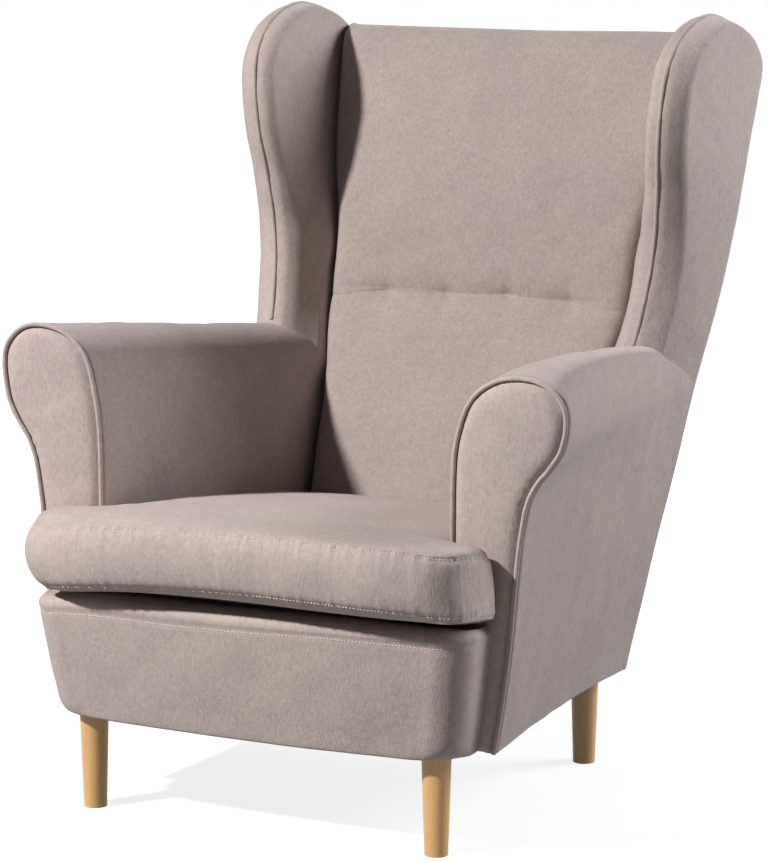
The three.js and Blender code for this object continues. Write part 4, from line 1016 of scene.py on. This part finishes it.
def apron_outline(z, inset):
    """Plan of the base at a height, from the rear end on the left round to the rear end on the right."""
    rise = min(max((z - BASE_BOTTOM) / (DECK_HEIGHT - BASE_BOTTOM), 0), 1)
    half = mix(*BASE_HALVES, rise) - inset
    front = mix(*BASE_FRONTS, rise) + inset
    radius = max(BASE_CORNER - inset * BASE_CORNER_LOSS, BASE_LEAST_CORNER)
    turn = np.linspace(QUARTER_TURN, 0, num=22)
    straight = half - radius
    corner = np.column_stack([-(straight + radius * np.sin(turn)), front + radius * (1 - np.cos(turn))])
    xs = np.linspace(-straight, straight, num=131)[1:-1]
    bow = np.column_stack([xs, front - mix(*BASE_BOWS, rise) * (1 - (xs / straight) ** 2)])
    side_y = np.linspace(BASE_REAR, front + radius, num=14)[:-1]
    side = np.column_stack([np.full(len(side_y), -half), side_y])
    mirrored = (np.vstack([side, corner]) * (-1, 1))[::-1]
    return np.vstack([side, corner, bow, mirrored])


def apron_levels():
    """Heights of the base's rows from its hem to its top edge, with how far each one lies in."""
    top = deck_z(BASE_TOP_Y) - BASE_TOP_BELOW_DECK - BASE_ROUND
    foot = BASE_BOTTOM + BASE_HEM_ROUND
    hem = [(BASE_BOTTOM + rise, inset) for rise, inset in BASE_HEM]
    for angle in np.linspace(BASE_HEM_START, QUARTER_TURN, num=5):
        hem.append((foot - BASE_HEM_ROUND * math.cos(angle), BASE_HEM_ROUND * (1 - math.sin(angle))))
    face = []
    for z in np.linspace(foot + BASE_SWELL_MARGIN, top - BASE_ROUND_GAP, num=46):
        face.append((z, -BASE_SWELL * math.sin(math.pi * (z - foot) / (top - foot))))
    edge = []
    for angle in np.linspace(0, BASE_ROUND_END, num=22):
        edge.append((top + BASE_ROUND * math.sin(angle), BASE_ROUND * (1 - math.cos(angle))))
    return hem + face + edge


def make_apron():
    levels = apron_levels()
    rows = [at_height(apron_outline(z, inset), z) for z, inset in levels]
    last_z, last_inset = levels[-1]
    for share in np.arange(1, BASE_TOP_ROWS + 1) / BASE_TOP_ROWS:
        plan = apron_outline(last_z, last_inset)
        plan[:, 1] = mix(plan[:, 1], BASE_REAR, share)
        z = last_z + BASE_TOP_RISE * math.sin(share * QUARTER_TURN)
        z = np.minimum(z, deck_z(plan[:, 1]) + BASE_TOP_BELOW_DECK)
        rows.append(np.column_stack([plan, z]))
    rows = np.array(rows)
    flat = rows.reshape(-1, 3)
    x, y, z = flat.T
    # the left end of the top edge is drawn down and the right one stands up
    drawn = np.interp(x, BASE_TOP_X, BASE_TOP_LIFT)
    flat[:, 2] += drawn * rising(z, start=230, width=60) * rising(y, start=-285, width=-40)
    # the base lies a little to the left, and its lower corners are rounded
    flat[:, 0] -= BASE_LEAN * np.clip(np.abs(x) / BASE_LEAN_WIDTH, 0, 1)
    corner = rising(np.abs(x), start=225, width=50) * rising(y, start=-285, width=-30)
    low = np.clip((BASE_BOTTOM + BASE_CORNER_HEIGHT - z) / BASE_CORNER_HEIGHT, 0, 1)
    turned_in = (1 - np.sqrt(1 - low ** 2)) * corner
    flat[:, 0] -= np.sign(x) * BASE_CORNER_IN[0] * turned_in
    flat[:, 1] += BASE_CORNER_IN[1] * turned_in
    # a seam with a line of stitches follows the front of the top edge
    above_seam = z - stitch_height(x)
    out = unit(np.column_stack([x * BASE_SEAM_SQUASH, y - BASE_SEAM_CENTRE, np.zeros(len(x))]))
    gathers = ripples(x, BASE_GATHERS) * (BASE_GATHER_LEAST + ripples(x, BASE_GATHER_CHANGES))
    lift = bumps(above_seam, BASE_SEAM_BUMPS) + gathers * fading(np.abs(above_seam), reach=9)
    lift += ripples(flat, BASE_RIPPLES)
    flat += out * (lift * rising(y, start=-300, width=-25))[:, None]
    return cover("base_cover", rows, INSIDE_BASE, front_velour_painted_lighter, "base_apron")


def stitch_height(x):
    return np.interp(x, BASE_STITCH_X, BASE_STITCH_Z)


DECK_HALVES = (249, 197)
DECK_COVER_FRONT = -270
DECK_COVER_REAR = 193
DECK_COVER_BELOW = 1.2
DECK_RIPPLES = ((1.2, 130, 61),)
DECK_TURNED_DOWN = (0, 0, -20)
UNDER_DECK = (0, -40, -600)


def make_deck():
    across = np.linspace(-1, 1, num=61)
    rows = []
    for y in np.linspace(DECK_COVER_FRONT, DECK_COVER_REAR, num=60):
        share = (y - DECK_COVER_FRONT) / (DECK_COVER_REAR - DECK_COVER_FRONT)
        line = at_height(across[:, None] * mix(*DECK_HALVES, share), y)
        z = deck_z(y) - DECK_COVER_BELOW - np.abs(ripples(line, DECK_RIPPLES))
        rows.append(np.column_stack([line, z]))
    rows = hemmed(np.array(rows), DECK_TURNED_DOWN)
    cover("deck_cover", rows, UNDER_DECK, level_cover, "seat_deck")


DUST_RIGHT = ((240, -332), (262, -325), (275, -308), (279, -261), (303, -261), (303, -242), (289, 209))
DUST_BELOW_FRAME = 1.2
DUST_RIPPLES = ((1.4, 160, 71),)
DUST_EDGE = 40
LEG_X = 250
LEG_YS = (-300, 182)
LEG_HOLE_RADIUS = 24


def make_dust_cover():
    """The thin sheet stapled under the frame, with a round hole for each leg."""
    right = np.array(DUST_RIGHT, float)
    outline, _ = evenly_round(np.vstack([right, right[::-1] * (-1, 1)]), pitch=12)
    flat, faces = sheet_over(outline, pitch=14)
    legs = np.array([(side * LEG_X, y) for side in (-1, 1) for y in LEG_YS])
    slack = np.clip(to_outline(outline, flat)[0] / DUST_EDGE, 0, 1)
    z = FRAME_BOTTOM - DUST_BELOW_FRAME - np.abs(ripples(flat, DUST_RIPPLES)) * slack
    kept = [
        face[::-1] for face in faces
        if np.linalg.norm(legs - flat[face].mean(0), axis=1).min() > LEG_HOLE_RADIUS
    ]
    piece = raw_piece("dust_sheet", np.column_stack([flat, z]), kept, sheet_finish)
    settle(piece, "frame", "dust_cover")


# Seat cushion

# x and y of the right half of the head, from the middle of the front to the neck between the arms
CUSHION_PLAN = (
    (0, -409), (90, -409), (160, -408), (210, -406), (250, -400), (280, -390), (300, -374), (310, -352),
    (314, -325), (315, -305), (315, -290), (310, -281), (298, -279), (262, -278), (250, -276), (246, -268),
)
ARM_INNER_LINE = ((-262, 252), (253, 192))
CUSHION_SIDE_GAP = 6
CUSHION_NECK = (-255, 160, 60)
CUSHION_REAR = 186
CUSHION_SHIFT = 2
CUSHION_HEAD_BAND = (-262, -50)
TOP_SEAM_X = (-321, -300, -245, -166, -21, 118, 247, 324)
TOP_SEAM_Z = (391, 392, 396, 408.5, 416, 416, 413, 402)
TOP_SEAM_DROP = (10, -360, 90)
LOW_SEAM_X = (-321, -222, -178, -105, -33, 39, 109, 178, 246, 313)
LOW_SEAM_Z = (302, 313.5, 318.5, 325, 328.5, 329, 327, 326, 324.5, 321)
LOW_SEAM_DROP = (8, -360, 90)
SEAT_Y = (-424, -272, -164, -52, 64, 185)
SEAT_HEIGHTS = (112, 109, 108.5, 106, 100, 93)
TOP_SEAM_BELOW = 9
LOW_SEAM_ABOVE = 15
CROWN = 15
CROWN_HEAD_Y = -275
CROWN_HEAD_HALF = 330
CROWN_MIDDLE_Y = -120
CROWN_HALF_LENGTH = 310
UNDER_RISE = 14
CUSHION_CENTRE_Y = -100
BAND_BULGES = (4.5, 8)
BAND_BULGE_POWER = 0.6
RIGHT_END_BULGES = (1, 9)
BAND_GATHERS = ((1, 13, 81),)
BAND_GATHER_LEAST = 0.7
BAND_GATHER_CHANGES = ((0.3, 120, 82),)
BAND_GATHER_DEPTH = 1.7
BAND_GATHER_EDGE = 2
STITCH_BELOW_TOP = 4
LOW_STITCH_X = (-321, -216, -143, -77, 1, 67, 120, 226, 320)
LOW_STITCH_Z = (306, 321.8, 328.1, 332.5, 337, 338, 337.5, 335, 328)
TOP_STITCH_BUMPS = ((1.0, STITCH_BELOW_TOP, 3),)
LOW_STITCH_BUMPS = ((0.9, 0, 3.2),)
BAND_RIPPLES = ((1.0, 75, 83),)
BAND_RIPPLE_HEIGHT = 70
FRONT_TUCKS = ((8, 0, 9), (3, 0, 30)), ((3, 0, 14),)
LEFT_TUCKS = ((9, 0, 28),), ((3, 0, 20),)
RIGHT_TUCKS = ((3, 0, 5),), ((4, 0, 8),)
COVER_RIPPLES = ((0.9, 140, 84), (0.45, 55, 85))

arm_inner_x = through_two(ARM_INNER_LINE)


def cushion_outline():
    right = spline(CUSHION_PLAN, count=120)
    neck_y = np.linspace(*CUSHION_NECK)
    neck = np.column_stack([arm_inner_x(neck_y) - CUSHION_SIDE_GAP, neck_y])
    turn = np.linspace(0, QUARTER_TURN, num=12)[1:]
    radius = 26
    end = arm_inner_x(CUSHION_REAR) - CUSHION_SIDE_GAP - radius
    corner = np.column_stack([end + radius * np.cos(turn), CUSHION_REAR - radius + radius * np.sin(turn)])
    rear = at_height(np.linspace(end, 0, num=40)[1:, None], CUSHION_REAR)
    half = np.vstack([right, neck, corner, rear])
    left = (half * (-1, 1))[::-1][1:-1]
    line, along = evenly_round(np.vstack([half, left]), pitch=3)
    # the loose cushion lies a little to the right at the front
    line[:, 0] += CUSHION_SHIFT * rising(line[:, 1], *CUSHION_HEAD_BAND)
    return line, along


def seam_height(behind, front, y, drop):
    """A seam that follows one line round the cushion's head and another one behind it."""
    height, *band = drop
    return mix(behind, front - height * rising(y, *band), rising(y, *CUSHION_HEAD_BAND))


def seat_height(y):
    return deck_z(y) + np.interp(y, SEAT_Y, SEAT_HEIGHTS)


def top_seam(x, y):
    """Height of the cushion's upper edge: drawn down at the left end of the front, and level behind it."""
    front = np.interp(x, TOP_SEAM_X, TOP_SEAM_Z)
    return seam_height(seat_height(y) - TOP_SEAM_BELOW, front, y, TOP_SEAM_DROP)


def low_seam(x, y):
    front = np.interp(x, LOW_SEAM_X, LOW_SEAM_Z)
    return seam_height(deck_z(y) + LOW_SEAM_ABOVE, front, y, LOW_SEAM_DROP)


def cushion_top(points, far):
    x, y = points.T
    half = np.where(y < CROWN_HEAD_Y, CROWN_HEAD_HALF, arm_inner_x(y))
    along = (y - CROWN_MIDDLE_Y) / CROWN_HALF_LENGTH
    crown = CROWN * np.clip(1 - (x / half) ** 2, 0, 1) * np.clip(1 - along ** 2, 0, 1)
    seam = top_seam(x, y)
    height, outer_reach, inner_reach = 2.5, 60, 12
    shoulder = height * (fading(far, outer_reach) - fading(far, inner_reach))
    return seam + swelling(far, seat_height(y) + crown - seam, reach=15) + shoulder


def cushion_under(points, far):
    x, y = points.T
    rest = deck_z(y) + GAP + UNDER_RISE * rising(y, start=-290, width=-75) * rising(x, start=-330, width=120)
    return rest + (low_seam(x, y) - rest) * fading(far, reach=30)


def tucks(rise, down, table):
    """How far the band is drawn in near its lower and its upper edge."""
    lower, upper = table
    return bumps(rise, lower) + bumps(down, upper)


def cushion_band(outline, along, gathers):
    """Rows of the cushion's side from its upper edge to its lower one."""
    upper = top_seam(*outline.T)
    lower = low_seam(*outline.T)
    out = np.roll(outline, -1, axis=0) - np.roll(outline, 1, axis=0)
    out = unit(np.column_stack([out[:, 1], -out[:, 0]]))
    if np.sum(out * (outline - (0, CUSHION_CENTRE_Y))) < 0:
        out = -out
    x, y = outline.T
    front = rising(y, start=-255, width=-20)
    bulge = mix(*BAND_BULGES, front)
    left_end = front * rising(x, start=-225, width=-60)
    right_end = front * rising(x, start=270, width=40)
    rows = []
    for share in (1 - np.cos(np.linspace(0, math.pi, num=45))) / 2:
        down = share * (upper - lower)
        rise = (1 - share) * (upper - lower)
        full = math.sin(math.pi * share)
        swell = mix(bulge * full ** BAND_BULGE_POWER, mix(*RIGHT_END_BULGES, share), right_end)
        above_stitch = mix(upper, lower, share) - np.interp(x, LOW_STITCH_X, LOW_STITCH_Z)
        pucker = fading(np.abs(down - STITCH_BELOW_TOP), reach=12)
        pucker += fading(np.abs(above_stitch), reach=9)
        pucker *= np.clip(np.minimum(down, rise) / BAND_GATHER_EDGE, 0, 1)
        swell = swell + BAND_GATHER_DEPTH * gathers * pucker
        swell = swell - (bumps(down, TOP_STITCH_BUMPS) + bumps(above_stitch, LOW_STITCH_BUMPS)) * front
        places = np.column_stack([along, np.full(len(along), share * BAND_RIPPLE_HEIGHT)])
        swell = swell + ripples(places, BAND_RIPPLES) * full
        swell = swell - front * tucks(rise, down, FRONT_TUCKS) * (1 - right_end)
        swell = swell - left_end * tucks(rise, down, LEFT_TUCKS)
        swell = swell - right_end * tucks(rise, down, RIGHT_TUCKS)
        rows.append(np.column_stack([outline + out * swell[:, None], mix(upper, lower, share)]))
    return np.array(rows)


def make_cushion():
    outline, along = cushion_outline()
    gathers = ripples(along, BAND_GATHERS) * (BAND_GATHER_LEAST + ripples(along, BAND_GATHER_CHANGES))
    rows = cushion_band(outline, along, gathers)
    faces = grid_faces(len(rows), len(outline), True)
    band_count = len(faces)
    flat, cover_faces = sheet_over(outline, pitch=4.5)
    far, place = to_outline(outline, flat)
    rim = np.argmin(np.abs(place[:, None] - along[None, :]), axis=1)
    tucked_top, tucked_low = (
        flat + (rows[k][:, :2] - outline)[rim] * fading(far, reach=14)[:, None] for k in (0, -1)
    )
    height, reach, edge = 0.6, 12, 2
    ripple = height * np.interp(place, along, gathers) * fading(far, reach) * np.clip(far / edge, 0, 1)
    calm = swelling(far, ripples(flat, COVER_RIPPLES), reach=20)
    top = np.column_stack([tucked_top, cushion_top(flat, far) + ripple + calm])
    low = np.column_stack([tucked_low, cushion_under(flat, far)])
    start_top = rows.shape[0] * rows.shape[1]
    start_low = start_top + len(top)
    if normal_of(top, cover_faces[0])[2] < 0:
        cover_faces = turned(cover_faces)
    for face in cover_faces:
        faces.append([start_top + k for k in face])
        faces.append([start_low + k for k in face[::-1]])
    points = np.vstack([rows.reshape(-1, 3), top, low])
    piece = raw_piece("cushion_cover", points, faces, level_cover)
    piece.data.materials.append(front_velour_painted_lighter)
    sides = np.zeros(len(piece.data.polygons), int)
    sides[:band_count] = 1
    piece.data.polygons.foreach_set("material_index", sides)
    weld(piece)
    return settle(piece, "seat_cushion", "seat_cushion")


# Stitches

STITCH_PITCH = 4.8
STITCH_LENGTH = 3.4
STITCH_LIFT = 0.3
STITCH_DIP = 0.55
STITCH_DIP_POWER = 4
STITCH_SIDES = 6
STITCH_PROFILE = ((-0.5, 0.25), (-0.42, 0.8), (-0.2, 1.0), (0.2, 1.0), (0.42, 0.8), (0.5, 0.25))
CUSHION_THREAD_RADIUS = 0.62
BASE_THREAD_RADIUS = 0.55
PROBE_START = 40
PROBE_LENGTH = 90
CUSHION_STITCH_Y = -300
BASE_STITCH_LINE = (-285, 285, 200)
BASE_STITCH_BELOW = 2.5


def stitches(name, line, surface, body, radius):
    """Short threads laid on a surface along a line."""
    tree = bvhtree.BVHTree.FromObject(surface, bpy.context.evaluated_depsgraph_get())
    line, _ = evenly(framed(line), STITCH_PITCH * MILLIMETRE)
    turn = np.linspace(0, 2 * math.pi, STITCH_SIDES, endpoint=False)
    length = STITCH_LENGTH * MILLIMETRE
    points = []
    faces = []
    for here, there in zip(line[:-1], line[1:]):
        ahead = Vector(there - here)
        inward = Vector((-ahead.y, ahead.x, 0)).normalized()
        start = Vector((here + there) / 2) - inward * PROBE_START * MILLIMETRE
        middle, normal, _, _ = tree.ray_cast(start, inward, PROBE_LENGTH * MILLIMETRE)
        if middle is None:
            continue
        ahead = (ahead - normal * ahead.dot(normal)).normalized()
        side = ahead.cross(normal)
        first = len(points)
        for place, size in STITCH_PROFILE:
            lift = STITCH_LIFT - STITCH_DIP * (2 * place) ** STITCH_DIP_POWER
            centre = middle + ahead * place * length + normal * lift * MILLIMETRE
            for angle in turn:
                out = side * math.cos(angle) + normal * math.sin(angle)
                points.append(centre + out * radius * size * MILLIMETRE)
        faces += [[first + k for k in face] for face in grid_faces(len(STITCH_PROFILE), STITCH_SIDES, True)]
        faces.append([first + k for k in range(STITCH_SIDES)][::-1])
        faces.append([len(points) - STITCH_SIDES + k for k in range(STITCH_SIDES)])
    settle(smooth_piece(name, points, faces, thread_finish), body, None)


def stitch_cushion(cushion):
    outline, _ = cushion_outline()
    shown = np.where(outline[:, 1] < CUSHION_STITCH_Y)[0]
    # the outline starts at the middle of the front, so its front stretch wraps round its ends
    split = np.where(np.diff(shown) > 1)[0][0] + 1
    line = outline[np.concatenate([shown[split:], shown[:split]])]
    heights = {
        "cushion_top_stitches": top_seam(*line.T) - STITCH_BELOW_TOP,
        "cushion_low_stitches": np.interp(line[:, 0], LOW_STITCH_X, LOW_STITCH_Z),
    }
    for name, z in heights.items():
        stitches(name, np.column_stack([line, z]), cushion, "seat_cushion", CUSHION_THREAD_RADIUS)


def stitch_apron(apron):
    xs = np.linspace(*BASE_STITCH_LINE)
    line = np.column_stack([xs, np.full(len(xs), BASE_TOP_Y), stitch_height(xs) - BASE_STITCH_BELOW])
    stitches("base_stitches", line, apron, "frame", BASE_THREAD_RADIUS)


# Legs and what shows little


def dress_frame():
    finishes = {
        "leg_wood": leg_finish,
        "frame_wood": frame_finish,
        "steel": steel_finish,
        "webbing": webbing_finish,
    }
    slots = {entry["node"]: entry["material_slot"] for entry in frame["record"]["subparts"]}
    for name, node in frame["nodes"].items():
        finish = finishes.get(slots[name])
        if finish is None:
            continue
        node.data.materials.clear()
        node.data.materials.append(finish)


# Studio, in metres and degrees

AMBIENT = 0.035
LAMPS = {
    "key": {"azimuth": -36, "elevation": 38, "distance": 6.0, "size": 0.4, "power": 465},
    "fill": {"azimuth": 130, "elevation": 25, "distance": 4.5, "size": 2.4, "power": 185},
}
LAMP_COLOURS = {"key": (1.0, 0.985, 0.965), "fill": (0.95, 0.97, 1.0)}
FLOOR_REACH = 14.0
FLOOR_COLOUR = (0.3, 0.3, 0.3, 1)
FLOOR_GLOW = 0.84
FLOOR_GLOW_START = 0.9
FLOOR_GLOW_END = 2.4
CENTRE = Vector((0.030, -0.077, 0.4784))
CAMERA = {"azimuth": 26.0, "elevation": 10.45, "distance": 4.76}
CAMERA_REACH = 60
SENSOR_WIDTH = 36
FOCAL_PIXELS = 3538
IMAGE_HEIGHT = 862


def make_floor():
    """A pale floor: it takes the shadow, glows white far out, and throws little light back."""
    mesh = bpy.data.meshes.new("floor")
    corners = [(x * FLOOR_REACH, y * FLOOR_REACH, 0) for x, y in ((-1, -1), (1, -1), (1, 1), (-1, 1))]
    mesh.from_pydata(corners, [], [(0, 1, 2, 3)])
    material = bpy.data.materials.new("floor")
    material.use_nodes = True
    material.node_tree.nodes.clear()
    made = Nodes(material.node_tree)
    place = made.add("ShaderNodeTexCoord").outputs["Object"]
    distance = made.add("ShaderNodeVectorMath", {0: place}, operation="LENGTH").outputs["Value"]
    reach = {"From Min": FLOOR_GLOW_START, "From Max": FLOOR_GLOW_END, "To Min": FLOOR_GLOW, "To Max": 1.0}
    whiter = made.add("ShaderNodeMapRange", {"Value": distance, **reach}, interpolation_type="SMOOTHSTEP")
    glow = made.add("ShaderNodeEmission", {"Strength": whiter.outputs["Result"]}).outputs[0]
    plain = made.add("ShaderNodeBsdfDiffuse", {"Color": FLOOR_COLOUR}).outputs[0]
    shown = made.add("ShaderNodeAddShader", {0: plain, 1: glow}).outputs[0]
    chosen = made.add("ShaderNodeMixShader", {0: made.seen_directly(), 1: plain, 2: shown}).outputs[0]
    made.add("ShaderNodeOutputMaterial", {0: chosen})
    mesh.materials.append(material)
    placed("floor", mesh)


def make_world():
    world = bpy.data.worlds.new("studio")
    bpy.context.scene.world = world
    world.use_nodes = True
    made = Nodes(world.node_tree)
    levels = {"Value": made.seen_directly(), "To Min": AMBIENT, "To Max": 1.0}
    strength = made.add("ShaderNodeMapRange", levels).outputs["Result"]
    back = made.tree.nodes["Background"]
    made.give(back.inputs["Strength"], strength)
    made.give(back.inputs["Color"], (1, 1, 1, 1))


def aimed(name, data, azimuth, elevation, distance):
    """Places a lamp or the camera so that it looks at the middle of the chair."""
    turn, rise = math.radians(azimuth), math.radians(elevation)
    way = Vector((math.sin(turn) * math.cos(rise), -math.cos(turn) * math.cos(rise), math.sin(rise)))
    made = placed(name, data)
    made.location = CENTRE + way * distance
    made.rotation_mode = "QUATERNION"
    made.rotation_quaternion = (-way).to_track_quat("-Z", "Y")
    return made


def lamp(name, azimuth, elevation, distance, size, power):
    data = bpy.data.lights.new(name, "AREA")
    data.shape = "DISK"
    data.size = size
    data.energy = power
    data.color = LAMP_COLOURS[name]
    aimed(name, data, azimuth, elevation, distance)


def make_camera():
    data = bpy.data.cameras.new("camera")
    data.sensor_width = SENSOR_WIDTH
    data.lens = SENSOR_WIDTH * FOCAL_PIXELS / IMAGE_HEIGHT
    data.clip_end = CAMERA_REACH
    bpy.context.scene.camera = aimed("camera", data, **CAMERA)


make_camera()
make_floor()
make_world()
for lamp_name, settings in LAMPS.items():
    lamp(lamp_name, **settings)
bpy.context.scene.view_settings.view_transform = "Standard"

make_arm()
make_facing()
make_arm_piping()
make_wing()
make_back()
make_outside_back()
base_piece = make_apron()
make_deck()
make_dust_cover()
cushion_piece = make_cushion()
bpy.context.view_layer.update()
stitch_cushion(cushion_piece)
stitch_apron(base_piece)
dress_frame()
